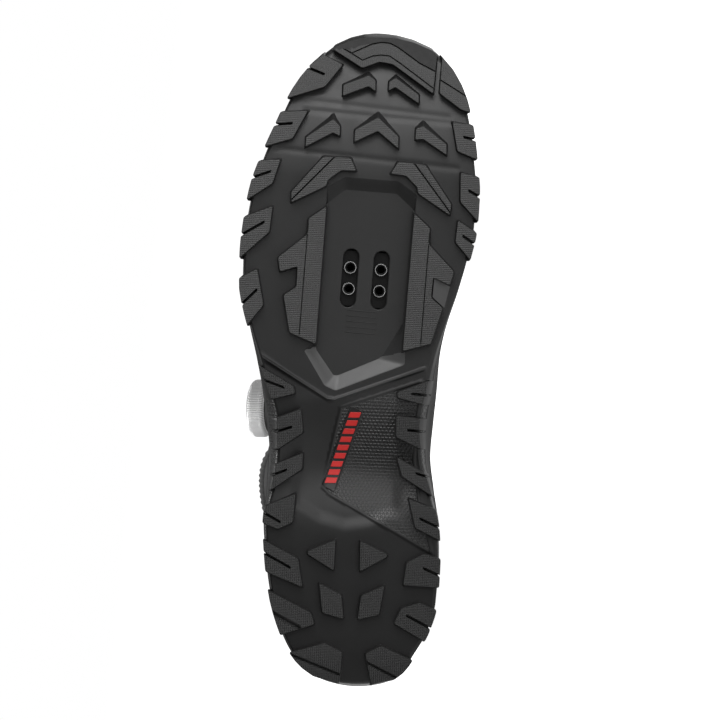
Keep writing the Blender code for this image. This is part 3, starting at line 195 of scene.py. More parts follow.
def sole_ring(height, inset, toe_overhang=2.5):
    """A ring on the sole's side at the given heights, moved inwards by inset."""
    station = LOOP_STATION
    reach = toe_overhang * smooth_step(88, 100, station) - 2.0 * smooth_step(10, 0, station)
    tread = by_side(half_width("tread_lateral", station), half_width("tread_medial", station)) * LOOP_SIGN
    top = by_side(half_width("top_lateral", station), half_width("top_medial", station)) * LOOP_SIGN
    low, high = tread_height(station), stack_height(station)
    share = (height - low) / (high - low)
    tilt = np.clip(share - 1, 0, None) * (high - low) * 0.06
    share = np.clip(share, 0, 1)
    loop = np.stack([station * LENGTH / 100 + reach * share, tread * (1 - share) + top * share], axis=1)
    plan = inset_loop(loop, inset + tilt)
    at = np.clip(plan[:, 0] * 100 / LENGTH, 0, 100)
    return np.column_stack([plan, height + tread_height(at) - low])


POCKET_LENGTH = 85.0
POCKET_WIDTH = 40.0
CLEAT_CENTRE = (0.6236 * LENGTH, -2.5)
POCKET_TURN = math.radians(2.5)


def pocket_point(forward, out):
    """Millimetres along and across the pocket's own axes as a plan point of the shoe."""
    cosine, sine = math.cos(POCKET_TURN), math.sin(POCKET_TURN)
    forward, out = np.asarray(forward, float), np.asarray(out, float)
    return np.stack([
        CLEAT_CENTRE[0] + forward * cosine - out * sine,
        CLEAT_CENTRE[1] + forward * sine + out * cosine,
    ], axis=-1)


def line_distance(x, y, line):
    """Distance of plan points from an open line of points."""
    best = np.full(np.shape(x), 1e9)
    for a, b in zip(np.asarray(line, float)[:-1], np.asarray(line, float)[1:]):
        d = b - a
        t = np.clip(((x - a[0]) * d[0] + (y - a[1]) * d[1]) / max(d @ d, 1e-9), 0, 1)
        best = np.minimum(best, np.hypot(x - a[0] - t * d[0], y - a[1] - t * d[1]))
    return best


def inside(x, y, polygon):
    """True for plan points inside a polygon, by counting crossings."""
    polygon = np.asarray(polygon, float)
    found = np.zeros(np.shape(x), bool)
    for a, b in zip(polygon, np.roll(polygon, -1, 0)):
        if a[1] == b[1]:
            continue
        crosses = (a[1] > y) != (b[1] > y)
        found ^= crosses & (x < (b[0] - a[0]) * (y - a[1]) / (b[1] - a[1]) + a[0])
    return found


def mitred(polygon, distance, grow=None):
    """A polygon's corners moved inwards (or outwards, if negative) so that its edges keep their distance.

    grow gives each corner's own share of a move outwards.
    """
    polygon = np.asarray(polygon, float)
    after = np.roll(polygon, -1, 0) - polygon
    area = (polygon[:, 0] * np.roll(polygon[:, 1], -1) - np.roll(polygon[:, 0], -1) * polygon[:, 1]).sum()
    after /= np.linalg.norm(after, axis=1)[:, None]
    after = math.copysign(1, area) * np.stack([-after[:, 1], after[:, 0]], axis=1)
    before = np.roll(after, 1, 0)
    spread = np.clip(1 + (before * after).sum(1), 0.35, None)
    move = (before + after) / spread[:, None] * distance
    if grow is not None and distance < 0:
        move = move * np.asarray(grow, float)[:, None]
    return polygon + move


def rounded(polygon, radius, spacing, like=None):
    """A closed loop along a polygon with rounded corners.

    Each corner is a quadratic curve between points at the radius before and after it. like is the polygon
    whose edge lengths set the counts of points.
    """
    polygon = np.asarray(polygon, float)
    like = polygon if like is None else np.asarray(like, float)
    bend = np.linspace(0, 1, 5)[:, None]
    loop = []
    for i, corner in enumerate(polygon):
        before, after = polygon[i - 1], polygon[(i + 1) % len(polygon)]
        back, ahead = np.linalg.norm(before - corner), np.linalg.norm(after - corner)
        enter = corner + (before - corner) / back * min(radius, 0.42 * back)
        leave = corner + (after - corner) / ahead * min(radius, 0.42 * ahead)
        arrive = after + (corner - after) / ahead * min(radius, 0.42 * ahead)
        loop.append((1 - bend) ** 2 * enter + 2 * bend * (1 - bend) * corner + bend**2 * leave)
        count = max(1, int(np.linalg.norm(like[(i + 1) % len(like)] - like[i]) / spacing))
        share = np.linspace(0, 1, count + 1)[1:-1][:, None]
        loop.append(leave + (arrive - leave) * share)
    return np.concatenate(loop)


def covered(x, y, loops):
    """True for plan points inside the first loop and outside the others."""
    found = inside(x, y, loops[0])
    for hole in loops[1:]:
        found &= ~inside(x, y, hole)
    return found


def flat_mesh(loops, lines=(), spacing=1.2, margin=0.6):
    """A plan area filled with triangles: loops are its edges, the first outside and the others holes.

    lines are (points, closed) pairs that the triangles' sides follow. Between them lies a staggered grid of
    points, none of them nearer to a line than the margin.
    """
    paths = [(loop, True) for loop in loops] + list(lines)
    low, high = loops[0].min(0), loops[0].max(0)
    rows = np.arange(low[1], high[1], spacing * 0.87)
    x, y = np.meshgrid(np.arange(low[0], high[0], spacing), rows)
    x = (x + (np.arange(len(rows)) % 2)[:, None] * spacing / 2).ravel()
    y = y.ravel()
    kept = covered(x, y, loops)
    x, y = x[kept], y[kept]
    near = np.zeros(len(x), bool)
    coords, edges, start = [], [], 0
    for path, closed in paths:
        coords.append(path)
        i = np.arange(len(path) if closed else len(path) - 1)
        edges.append(np.stack([start + i, start + (i + 1) % len(path)], axis=1))
        start += len(path)
        ends = np.vstack([path, path[:1]]) if closed else path
        box = (x > ends[:, 0].min() - margin) & (x < ends[:, 0].max() + margin)
        box &= (y > ends[:, 1].min() - margin) & (y < ends[:, 1].max() + margin)
        near[box] |= line_distance(x[box], y[box], ends) < margin
    coords.append(np.stack([x[~near], y[~near]], axis=1))
    corners = [Vector(p) for p in np.concatenate(coords)]
    found = delaunay_2d_cdt(corners, np.concatenate(edges).tolist(), [], 2, 1e-5)
    points = np.array([p[:] for p in found[0]])
    triangles = np.array([f[:] for f in found[2] if len(f) == 3])
    middle = points[triangles].mean(1)
    return points, triangles[covered(middle[:, 0], middle[:, 1], loops)]


def make(name, part, material, nodes=(), facing=None, uv=None, sharp=None):
    """A finished piece from points in mm and faces, which stands for the CAD nodes.

    facing is the direction that an open sheet's faces look in. uv is the piece's own map in mm, otherwise the
    shoe's plan. sharp is the angle from which an edge between faces stays hard.
    """
    points, faces = part
    sizes = np.concatenate([np.full(len(f), f.shape[1]) for f in faces])
    corners = np.concatenate([f.ravel() for f in faces])
    data = bpy.data.meshes.new(name)
    data.vertices.add(len(points))
    place = points @ TO_WORLD.T + np.array(ORIGIN)
    place[:, 2] = np.maximum(place[:, 2], 0.0)
    data.vertices.foreach_set("co", place.ravel())
    data.loops.add(len(corners))
    data.loops.foreach_set("vertex_index", corners.astype(np.int32))
    data.polygons.add(len(sizes))
    data.polygons.foreach_set("loop_start", np.concatenate([[0], np.cumsum(sizes)[:-1]]).astype(np.int32))
    data.update(calc_edges=True)
    layer = data.uv_layers.new(name="plan")
    values = points[:, :2] if uv is None else uv
    layer.data.foreach_set("uv", (values[corners] / 10).ravel())
    shape = bmesh.new()
    shape.from_mesh(data)
    bmesh.ops.recalc_face_normals(shape, faces=shape.faces)
    if facing is not None:
        direction = AXES @ Vector(facing)
        if sum(f.normal.dot(direction) * f.calc_area() for f in shape.faces) < 0:
            bmesh.ops.reverse_faces(shape, faces=shape.faces)
    shape.to_mesh(data)
    shape.free()
    data.materials.append(material)
    data.shade_smooth()
    if sharp:
        data.set_sharp_from_angle(angle=math.radians(sharp))
    made = bpy.data.objects.new(name, data)
    bpy.context.scene.collection.objects.link(made)
    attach(made, "root")
    if nodes:
        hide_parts(*nodes)
    return made


def node(tree, kind, inputs=None, **settings):
    """A shader node with its settings, inputs given as values or as sockets to link."""
    made = tree.nodes.new(kind)
    for key, value in settings.items():
        setattr(made, key, value)
    for key, value in (inputs or {}).items():
        if isinstance(value, bpy.types.NodeSocket):
            tree.links.new(value, made.inputs[key])
        else:
            made.inputs[key].default_value = value
    return made


def value(tree, operation, a, b=0.0, c=0.0):
    """One Math node's result."""
    return node(tree, "ShaderNodeMath", {0: a, 1: b, 2: c}, operation=operation).outputs[0]


def plan_axes(tree):
    """The plan map's two coordinates, in mm."""
    uv = node(tree, "ShaderNodeUVMap", uv_map="plan").outputs[0]
    split = node(tree, "ShaderNodeSeparateXYZ", {0: uv})
    return value(tree, "MULTIPLY", split.outputs[0], 10.0), value(tree, "MULTIPLY", split.outputs[1], 10.0)


def surface(name, dark, light, rough, spread=0.08, scale=60.0, specular=0.5, metallic=0.0, coat=0.0, sheen=0.0,
            heel=None):
    """A material whose colour and roughness drift with slow noise over the object. Colours are linear.

    heel is the share of the colour that is left at the heel: painted shade that darkens the rubber from toe to
    heel.
    """
    made = bpy.data.materials.new(name)
    made.use_nodes = True
    tree = made.node_tree
    shader = tree.nodes["Principled BSDF"]
    place = node(tree, "ShaderNodeTexCoord").outputs["Object"]
    noise = node(tree, "ShaderNodeTexNoise", {"Vector": place, "Scale": scale, "Detail": 5.0, "Roughness": 0.6})
    mix = node(tree, "ShaderNodeMix", {"Factor": noise.outputs[0]}, data_type="RGBA")
    for socket, colour in ((6, dark), (7, light)):
        rgb = (colour,) * 3 if isinstance(colour, float) else colour
        mix.inputs[socket].default_value = (*rgb, 1)
    colour = mix.outputs[2]
    # Painted shade: the colour is darkened from the toe towards the heel.
    if heel is not None:
        run = value(tree, "DIVIDE", plan_axes(tree)[0], LENGTH)
        fade = node(tree, "ShaderNodeMapRange", {0: run, 1: 0.1, 2: 0.8, 3: heel, 4: 1.0}).outputs[0]
        shade = node(tree, "ShaderNodeMix", {"Factor": 1.0}, data_type="RGBA", blend_type="MULTIPLY")
        tree.links.new(colour, shade.inputs[6])
        tree.links.new(fade, shade.inputs[7])
        colour = shade.outputs[2]
    tree.links.new(colour, shader.inputs["Base Color"])
    fine = node(tree, "ShaderNodeTexNoise", {"Vector": place, "Scale": scale * 9, "Detail": 4.0})
    drift = value(tree, "MULTIPLY_ADD", fine.outputs[0], spread * 2, rough - spread)
    tree.links.new(drift, shader.inputs["Roughness"])
    shader.inputs["Specular IOR Level"].default_value = specular
    shader.inputs["Metallic"].default_value = metallic
    shader.inputs["Coat Weight"].default_value = coat
    shader.inputs["Sheen Weight"].default_value = sheen
    return made


def add_bump(material, height, strength=0.5, distance=0.2):
    """Adds a bump of that height (distance in mm) to the bumps that the material has."""
    tree = material.node_tree
    shader = tree.nodes["Principled BSDF"]
    bump = node(tree, "ShaderNodeBump", {"Height": height, "Strength": strength, "Distance": distance * MM})
    linked = shader.inputs["Normal"].links
    if linked:
        tree.links.new(linked[0].from_socket, bump.inputs["Normal"])
    tree.links.new(bump.outputs[0], shader.inputs["Normal"])


def grain(material, scale=2500.0, strength=0.25, distance=0.06):
    """Fine moulded grain all over, from noise on the object."""
    tree = material.node_tree
    place = node(tree, "ShaderNodeTexCoord").outputs["Object"]
    noise = node(tree, "ShaderNodeTexNoise", {"Vector": place, "Scale": scale, "Detail": 3.0})
    add_bump(material, noise.outputs[0], strength, distance)


def wave(tree, x, y, pitch, angle):
    """A sine ridge pattern over the plan map: ridges of that pitch (mm), square to the angle (degrees)."""
    c, s = math.cos(math.radians(angle)), math.sin(math.radians(angle))
    run = value(tree, "ADD", value(tree, "MULTIPLY", x, c * 2 * math.pi / pitch),
                value(tree, "MULTIPLY", y, s * 2 * math.pi / pitch))
    return value(tree, "SINE", run)


# Painted shade: the sole rubber keeps only 0.12 of its colour at the heel.
rubber = surface("sole_rubber", 0.012, 0.018, 0.41, 0.09, 14.0, 0.37, heel=0.12)
grain(rubber, 1800.0, 0.2, 0.08)
knurled = surface("waist_knurl", 0.007, 0.012, 0.34, 0.08, 50.0, 0.6)
tree = knurled.node_tree
x, y = plan_axes(tree)
dots = value(tree, "ADD", wave(tree, x, y, 1.5, 0), wave(tree, x, y, 1.5, 60))
dots = value(tree, "ADD", dots, wave(tree, x, y, 1.5, 120))
dots = node(tree, "ShaderNodeMapRange", {0: dots, 1: -0.6, 2: 1.4}, interpolation_type="SMOOTHSTEP").outputs[0]
add_bump(knurled, dots, 0.9, 0.38)

# Corners of the pocket in % of its length and width: on the plate, and at the lip on the tread floor
POCKET = np.array([
    (39.2, -49.0, 47.4, -50.6), (47.0, -30.5, 53.2, -31.0), (47.0, 28.5, 53.2, 29.0),
    (39.2, 49.0, 47.0, 50.6), (-20.5, 48.5, -20.5, 50.6), (-39.9, 27.2, -37.0, 51.2),
    (-41.7, 23.2, -43.6, 52.1), (-52.3, -21.0, -60.2, -23.0), (-52.6, -26.6, -58.0, -35.2),
    (-39.4, -49.0, -40.2, -61.5), (-36.0, -48.6, -36.2, -50.6),
])
POCKET_SIZE = np.array((POCKET_LENGTH, POCKET_WIDTH)) / 100
plate_corners = pocket_point(*(POCKET[:, :2] * POCKET_SIZE).T)
root_corners = pocket_point(*(POCKET[:, 2:] * POCKET_SIZE).T)
BEAD = [(149.6, -50.8), (129.7, -17.5), (129.4, -14.2), (144.9, 26.0)]
PANEL = np.array([(126.1, -10.9), (139.6, 25.6), (121.0, 23.2), (104.0, 22.6), (84.0, 26.0), (68.0, 30.5),
                  (61.5, 32.5), (86.5, -14.8), (89.8, -18.2)])
FLEX = [[(265, -32), (259.6, 32.7)], [(260.5, -32), (257, 32.7)], [(242.5, -45), (236.4, 37)]]
CRESCENT = np.array([(82.5, -29.5), (76.3, -18.8), (73.2, -7.3), (75.2, 3.5), (79.0, 12.9)])
base_edge = sole_ring(tread_height(LOOP_STATION) + LUG_HEIGHT, 2.6, 0.0)
pocket_lip = rounded(mitred(root_corners, -0.35), 1.0, 0.8)


def base_height(x, y):
    """The tread floor: the root height, less the bead's ridge, plus flex grooves and the heel's breast step."""
    z = root_height(x, y)
    z = z - 0.95 * np.clip(1.25 - line_distance(x, y, BEAD) / 0.95, 0, 1) ** 1.5
    for line in FLEX:
        z = z + 0.35 * np.exp(-(line_distance(x, y, line) / 1.3) ** 2)
    breast = np.interp(y, CRESCENT[:, 1], CRESCENT[:, 0])
    step = smooth_step(-3.6, 3.6, x - breast) - smooth_step(4, 30, x - breast)
    z = z + 1.3 * step * smooth_step(-33, -28, y) * smooth_step(20, 12, y)
    ridge = np.clip(1 - line_distance(x, y, np.vstack([PANEL, PANEL[:1]])) / 0.75, 0, 1)
    return z - 0.5 * ridge


panel_lines = [(rounded(mitred(PANEL, d), 1.0, 1.0), True) for d in (-0.75, 0.0, 0.75)]
for offset in (-1.15, -0.65, -0.25, 0.25, 0.65, 1.15):
    panel_lines.append((np.array(BEAD) + (offset, 0.0), False))
plan, triangles = flat_mesh([base_edge[:, :2], pocket_lip], panel_lines, 0.95, margin=0.4)
floor_points = np.column_stack([plan, base_height(plan[:, 0], plan[:, 1])])
middle = plan[triangles].mean(1)
in_panel = inside(middle[:, 0], middle[:, 1], mitred(PANEL, 0.6))
DOWN = (0, 0, -1)
make("tread_base", (floor_points, [triangles[~in_panel]]), rubber, ["outsole"], DOWN)
make("waist_panel", (floor_points, [triangles[in_panel]]), knurled, ["outsole"], DOWN)

# Pocket walls: the rubber from the rounded lip at the tread floor down to the cleat plate. They are moulded
# with the floor, with wide chamfers at both ends; the one behind the cleat is smooth and shines as a ramp.


def loft(rings, closed=True):
    """Points and quads through rings of equal count."""
    rings = np.asarray(rings, float)
    levels, count = rings.shape[:2]
    i = np.arange(count if closed else count - 1)
    j = (i + 1) % count
    quads = [np.stack([k + i, k + j, k + count + j, k + count + i], axis=1)
             for k in range(0, (levels - 1) * count, count)]
    return rings.reshape(-1, 3), [np.concatenate(quads)]


# Painted shade: the lug walls, the pocket walls and the toe bumper get a darker rubber colour, which stands in
# for the shade on steep walls and in recesses.
rubber_painted_shade = surface("lug_wall_rubber_painted_shade", 0.008, 0.013, 0.6, 0.07, 40.0, 0.3)
rubber_smooth = surface("pocket_rubber", 0.009, 0.015, 0.48, 0.05, 40.0, 0.95)
grain(rubber_smooth, 1800.0, 0.1, 0.05)
rings = []
for drop, blend, grow in ((0.0, 0.0, 0.35), (0.02, 0.0, 0.12), (0.08, 0.02, 0.0), (1.5, 0.49, 0.0),
                          (2.95, 0.98, 0.0), (3.0, 1.0, -0.1)):
    corners = mitred(root_corners, -grow) * (1 - blend) + mitred(plate_corners, -grow) * blend
    loop = rounded(corners, 1.0 - 0.2 * blend, 0.8, mitred(root_corners, -0.35))
    rings.append(np.column_stack([loop, np.full(len(loop), LUG_HEIGHT + drop)]))
rings[0][:, 2] = base_height(rings[0][:, 0], rings[0][:, 1])
wall_points, (wall_quads,) = loft(rings)
middle = wall_points[wall_quads].mean(1)
RAMP_EDGE = np.array([(-40.5, 25.2), (-37.0, 52.5), (-45.0, 54.0), (-62.0, -22.0), (-59.0, -37.0),
                      (-41.0, -64.0), (-38.0, -50.0), (-51.5, -26.6), (-51.3, -21.0)])
rear = inside(middle[:, 0], middle[:, 1], pocket_point(*(RAMP_EDGE * POCKET_SIZE).T))
make("pocket_wall", (wall_points, [wall_quads[~rear]]), rubber_painted_shade, ["outsole"], DOWN, sharp=20)
make("pocket_ramp", (wall_points, [wall_quads[rear]]), rubber_smooth, ["outsole"], DOWN, sharp=20)

# Edge lugs: rubber blocks round the tread's outline, moulded with the floor. Each has a small bevel, a
# drafted wall, a fillet at its root and a rib that runs up the sole's side; sipes are slits from the outer
# edge.
SIGN = {"lateral": -1.0, "medial": 1.0}
LUG_LEVELS = (
    # inset at the level, height from the ground face, height from the root, climb of the outer side
    (0.50, 0.0, None, 0.0),
    (0.37, 0.05, None, 0.05),
    (0.30, 0.22, None, 0.22),
    (0.08, None, -0.7, 3.8),
    (-0.02, None, -0.25, 4.4),
    (-0.22, None, 0.02, 6.2),
    (-0.45, None, 0.15, 8.6),
    (-0.5, None, 0.6, 10.2),
)
RIB_TOP = 10.9


def lean(x, y, climb):
    """How far the sole's side has moved from the tread's outline at a climb (mm) above the tread."""
    station = np.clip(x * 100 / LENGTH, 0, 100)
    sign = np.where(y < 0, -1.0, 1.0)
    lateral = half_width("top_lateral", station) - half_width("tread_lateral", station)
    medial = half_width("top_medial", station) - half_width("tread_medial", station)
    share = np.clip(climb / (stack_height(station) - tread_height(station)), 0, 1)
    reach = 2.5 * smooth_step(88, 100, station) - 2.0 * smooth_step(10, 0, station)
    return np.stack([reach * share, sign * np.where(y < 0, lateral, medial) * share], axis=-1)


def slit(polygon, outer, mouth, end, width=0.5):
    """Cuts a slit into a polygon's edge that is nearest to its mouth, from there to its inner end."""
    polygon, mouth, end = (np.asarray(a, float) for a in (polygon, mouth, end))
    gaps = [line_distance(mouth[0], mouth[1], [a, b]) for a, b in zip(polygon, np.roll(polygon, -1, 0))]
    where = int(np.argmin(gaps))
    a, b = polygon[where], polygon[(where + 1) % len(polygon)]
    length = np.linalg.norm(b - a)
    edge = (b - a) / length
    foot = a + edge * np.clip((mouth - a) @ edge, 1.2, length - 1.2)
    half = edge * width / 2
    cut = [foot - half, end - half, end + half, foot + half]
    points = np.vstack([polygon[: where + 1], cut, polygon[where + 1:]])
    return points, [*outer[: where + 1], 2, 3, 3, 2, *outer[where + 1:]]


def add_lug(zone, polygon, outer=None, grooves=(), radius=1.0, ramp=None):
    """One lug: its ground face goes to the zone's faces, its walls to lug_walls, its outer side to lug_ribs.

    outer marks its corners: 1 on the sole's outline, 2 and 3 on a slit. ramp moves the corners of the ground
    face, which makes the wall under them a slope. grooves are (line, half width, depth) in the ground face.
    """
    polygon = np.asarray(polygon, float)
    flags = np.zeros(len(polygon)) if outer is None else np.asarray(outer, float)
    grow = np.where(flags == 0, 1.0, 0.0)
    on_edge = (flags == 1) | (flags == 2)
    outline = on_edge & np.roll(on_edge, -1)
    spacing = 1.1
    weight = rounded(polygon, radius, spacing)
    edge_weight = np.zeros(len(weight))
    for i in np.flatnonzero(outline):
        away = line_distance(weight[:, 0], weight[:, 1], [polygon[i], polygon[(i + 1) % len(polygon)]])
        edge_weight = np.maximum(edge_weight, np.clip(1.4 - away, 0, 1))
    rings = []
    for inset, from_top, from_root, climb in LUG_LEVELS:
        corners = mitred(polygon, inset, grow)
        if ramp is not None and from_top is not None:
            corners = corners + np.asarray(ramp, float)
        loop = rounded(corners, radius, spacing, polygon)
        tread = tread_height(np.clip(loop[:, 0] * 100 / LENGTH, 0, 100))
        z = tread + from_top if from_top is not None else root_height(loop[:, 0], loop[:, 1]) + from_root
        z = z * (1 - edge_weight) + (tread + climb) * edge_weight
        moved = lean(loop[:, 0], loop[:, 1], climb) * edge_weight[:, None]
        rings.append(np.column_stack([loop + moved, z]))
    if outline.any():
        last = rings[-1].copy()
        inner = rounded(mitred(polygon, 2.4, grow), radius, spacing, polygon)
        inner = inner + lean(inner[:, 0], inner[:, 1], RIB_TOP)
        tread = tread_height(np.clip(last[:, 0] * 100 / LENGTH, 0, 100))
        last[:, :2] = last[:, :2] * (1 - edge_weight[:, None]) + inner * edge_weight[:, None]
        last[:, 2] = np.where(edge_weight > 0, tread + RIB_TOP, last[:, 2])
        rings.append(last)
    lines = []
    for line, half, _ in grooves:
        step = np.gradient(np.asarray(line, float), axis=0)
        step /= np.linalg.norm(step, axis=1)[:, None]
        side_step = np.stack([-step[:, 1], step[:, 0]], axis=1)
        lines += [(line + side_step * offset, False) for offset in (-half, 0.0, half)]
    points, triangles = flat_mesh([rings[0][:, :2]], lines, 1.5, margin=0.5)
    z = tread_height(np.clip(points[:, 0] * 100 / LENGTH, 0, 100))
    for line, half, depth in grooves:
        z = z + depth * np.clip(1 - line_distance(points[:, 0], points[:, 1], line) / half, 0, 1)
    lug_faces[zone].append((np.column_stack([points, z]), [triangles]))
    wall_points, (quads,) = loft(rings)
    outside = edge_weight[quads % len(edge_weight)].mean(1) > 0.5
    lug_walls.append((wall_points, [quads[~outside]]))
    lug_ribs.append((wall_points, [quads[outside]]))


def tread_point(side, station, reach=0.0):
    """A plan point on the tread's outline, moved inboard by reach in % of BALL_WIDTH."""
    width = half_width("tread_" + side, station) - reach * BALL_WIDTH / 100
    return (station * LENGTH / 100, SIGN[side] * width)


# side, front, back, inner front, its reach, inner back, its reach, and then the sipe's two ends and the
# knee with its reach, where a lug has them
EDGE_LUGS = (
    ("lateral", 96.9, 89.5, 95.3, 13.9, 91.6, 13.6, ((278.7, -30.5), (277.2, -24.6))),
    ("lateral", 87.7, 81.9, 88.0, 11.9, 83.4, 10.8, ((252.7, -45.2), (254.0, -38.3))),
    ("lateral", 80.0, 73.6, 80.4, 9.6, 76.4, 9.9, ((228.4, -55.2), (231.7, -47.2))),
    ("lateral", 71.3, 64.6, 73.2, 12.0, 69.0, 12.3, ((201.7, -60.3), (208.6, -49.3))),
    ("lateral", 61.9, 54.4, 63.5, 8.2, 57.8, 9.8, ((171.6, -58.1), (177.9, -51.3))),
    ("lateral", 48.6, 43.3, 45.6, 12.2, 44.4, 11.5, ((136.4, -45.4), (134.2, -37.5))),
    ("lateral", 40.7, 35.5, 42.3, 11.9, 38.5, 11.7, ((112.9, -40.2), (116.4, -33.2))),
    ("lateral", 33.6, 29.3, 35.6, 11.7, 32.9, 12.1, ((93.9, -40.6), (96.8, -34.9))),
    ("lateral", 27.2, 24.4, 29.3, 11.3, 24.7, 13.2, ((76.4, -42.9), (73.2, -36.8)), (23.5, 6.5)),
    ("lateral", 22.1, 17.0, 19.3, 14.8, 14.7, 15.4, ((58.9, -42.8), (52.8, -31.6))),
    ("lateral", 14.4, 7.3, 11.1, 16.9, 9.2, 16.9),
    ("lateral", 4.8, 0.15, 6.6, 18.1, 5.2, 23.9),
    ("medial", 97.2, 88.4, 91.3, 11.8, 88.8, 4.4),
    ("medial", 86.7, 81.1, 87.1, 9.3, 82.4, 8.9, ((248.8, 46.0), (250.6, 40.1))),
    ("medial", 78.7, 71.5, 79.4, 8.3, 74.7, 8.8, ((223.2, 49.0), (226.3, 43.2))),
    ("medial", 70.1, 65.6, 72.1, 9.2, 68.5, 8.9, ((201.1, 46.6), (205.7, 41.3))),
    ("medial", 47.3, 43.4, 45.3, 12.5, 44.3, 11.6, ((134.0, 26.5), (133.4, 20.8))),
    ("medial", 41.4, 36.5, 41.8, 10.6, 38.3, 10.6, ((115.8, 25.1), (116.9, 19.6))),
    ("medial", 32.9, 29.4, 35.5, 11.1, 32.3, 10.9, ((95.1, 29.9), (97.4, 24.2))),
    ("medial", 27.6, 22.6, 29.2, 10.7, 24.5, 10.6, ((73.1, 35.8), (77.0, 26.6))),
    ("medial", 20.0, 15.5, 19.3, 14.8, 15.6, 15.7, ((51.5, 37.1), (54.6, 29.0)), (20.8, 7.2)),
    ("medial", 12.1, 7.1, 12.3, 15.6, 9.8, 16.8, ((28.2, 34.1), (32.9, 22.2)), (13.3, 8.0)),
    ("medial", 4.3, 0.15, 6.5, 17.6, 5.1, 22.0),
)
TOP_GROOVES = {
    ("medial", 97.2): [([(277.1, 27.4), (268.7, 41.6)], 0.36, 1.5)],
    ("lateral", 14.4): [([(33.2, -41.5), (25.7, -26.5)], 1.3, 1.4)],
    ("lateral", 4.8): [([(15.5, -36.0), (3.4, -3.0)], 0.8, 1.2)],
    ("medial", 4.3): [([(13.0, 0.5), (2.9, 21.8)], 0.8, 1.2)],
}
lug_faces = {"forefoot": [], "waist": [], "heel": []}
lug_walls, lug_ribs = [], []
for side, front, rear, inner_front, reach_front, inner_rear, reach_rear, *extra in EDGE_LUGS:
    sipe, knee = (extra + [None, None])[:2]
    corners = [tread_point(side, s) for s in np.linspace(rear, front, 5)]
    corners += [tread_point(side, inner_front, reach_front), tread_point(side, inner_rear, reach_rear)]
    flags = [1] * 5 + [0, 0]
    if knee:
        # ahead of the inner front corner, or behind the inner rear one
        at = 5 if knee[0] > front - 1 else 7
        corners.insert(at, tread_point(side, *knee))
        flags.append(0)
    if sipe:
        corners, flags = slit(corners, flags, *sipe)
    zone = "forefoot" if front > 50 else "waist" if front > 28 else "heel"
    add_lug(zone, corners, flags, TOP_GROOVES.get((side, front), []))

# Chevrons and inner heel lugs: free-standing rubber blocks of the forefoot and the heel, moulded with the
# floor. The chevrons' fronts are cut back as slopes, which helps the shoe to slide forward on to a pedal.
CHEVRONS = (
    # station, offset, lateral run and drop, medial run and drop, depth and end depth
    (94.3, -3.8, 11.0, 2.05, 3.3, 1.2, 2.4, 2.05), (94.1, 7.5, 3.1, 1.15, 10.4, 3.0, 2.2, 1.7),
    (87.6, -18.0, 11.6, 3.7, 3.3, 1.85, 3.1, 1.8), (88.1, 0.8, 10.0, 2.8, 9.2, 3.6, 3.1, 2.2),
    (87.0, 19.8, 3.4, 1.15, 10.5, 3.4, 2.95, 2.0),
)
SHARES = np.array((LENGTH, BALL_WIDTH)) / 100
for station, offset, run_l, drop_l, run_m, drop_m, depth, end_depth in CHEVRONS:
    corners = [(station - drop_l, offset - run_l), (station, offset), (station - drop_m, offset + run_m),
               (station - drop_m - end_depth, offset + run_m), (station - depth, offset),
               (station - drop_l - end_depth, offset - run_l)]
    wide = 2.0 if depth > 2.6 else 1.3
    slope = [(-0.25, 0.1), (-wide, 0), (-0.25, -0.1), (0, 0), (0, 0), (0, 0)]
    add_lug("forefoot", corners * SHARES, ramp=slope, radius=0.7)
HEEL_LUGS = (
    # axis, then station and distance from the axis of the four corners
    (-5.3, (22.5, 4.8), (20.5, 17.0), (19.9, 17.0), (17.4, 5.2)),
    (-3.0, (14.0, 3.8), (15.8, 14.1), (11.0, 12.2), (10.1, 2.6)),
)
for axis, *corners in HEEL_LUGS:
    for sign in (-1, 1):
        add_lug("heel", [(station, axis + sign * out) for station, out in corners] * SHARES)

# Rails and wings: long rubber blocks beside the cleat pocket and ahead of it, which stand on the pedal.
# Moulded with the floor, each side the other's mirror; a dotted groove runs down each rail and a sipe along
# each wing.
RAIL = np.array([(38.0, 49.0), (30.0, 70.0), (21.3, 70.5), (8.0, 101.0), (-0.2, 97.2), (3.3, 78.0),
                 (-6.8, 77.5), (-11.8, 91.5), (-31.9, 81.0), (-37.2, 48.5)]) * POCKET_SIZE
WING = np.array([(43.5, 92.0), (63.8, 58.5), (64.3, 26.5), (56.7, 18.0), (56.4, 36.5), (50.8, 50.2),
                 (47.7, 51.0), (36.9, 91.0)]) * POCKET_SIZE
for sign in (-1, 1):
    dots = [(pocket_point([u, u + 0.9], [sign * 27.6] * 2), 0.28, 0.7) for u in np.arange(-27.0, 24.0, 1.7)]
    add_lug("forefoot", pocket_point(RAIL[:, 0], sign * RAIL[:, 1]), None, dots)
    sipe = [(pocket_point([53.9, 31.1], [sign * 18.3, sign * 37.9]), 0.38, 1.5)]
    add_lug("forefoot", pocket_point(WING[:, 0], sign * WING[:, 1]), None, sipe)

# Toe lug: the foremost rubber block, moulded with the others, whose tip is the bumper over the toe. Two cut
# grooves run round its textured plate.


def join(parts):
    """Several (points, faces) parts as one."""
    points, faces, start = [], [], 0
    for part_points, part_faces in parts:
        points.append(part_points)
        faces += [np.asarray(f) + start for f in part_faces]
        start += len(part_points)
    return np.concatenate(points), faces


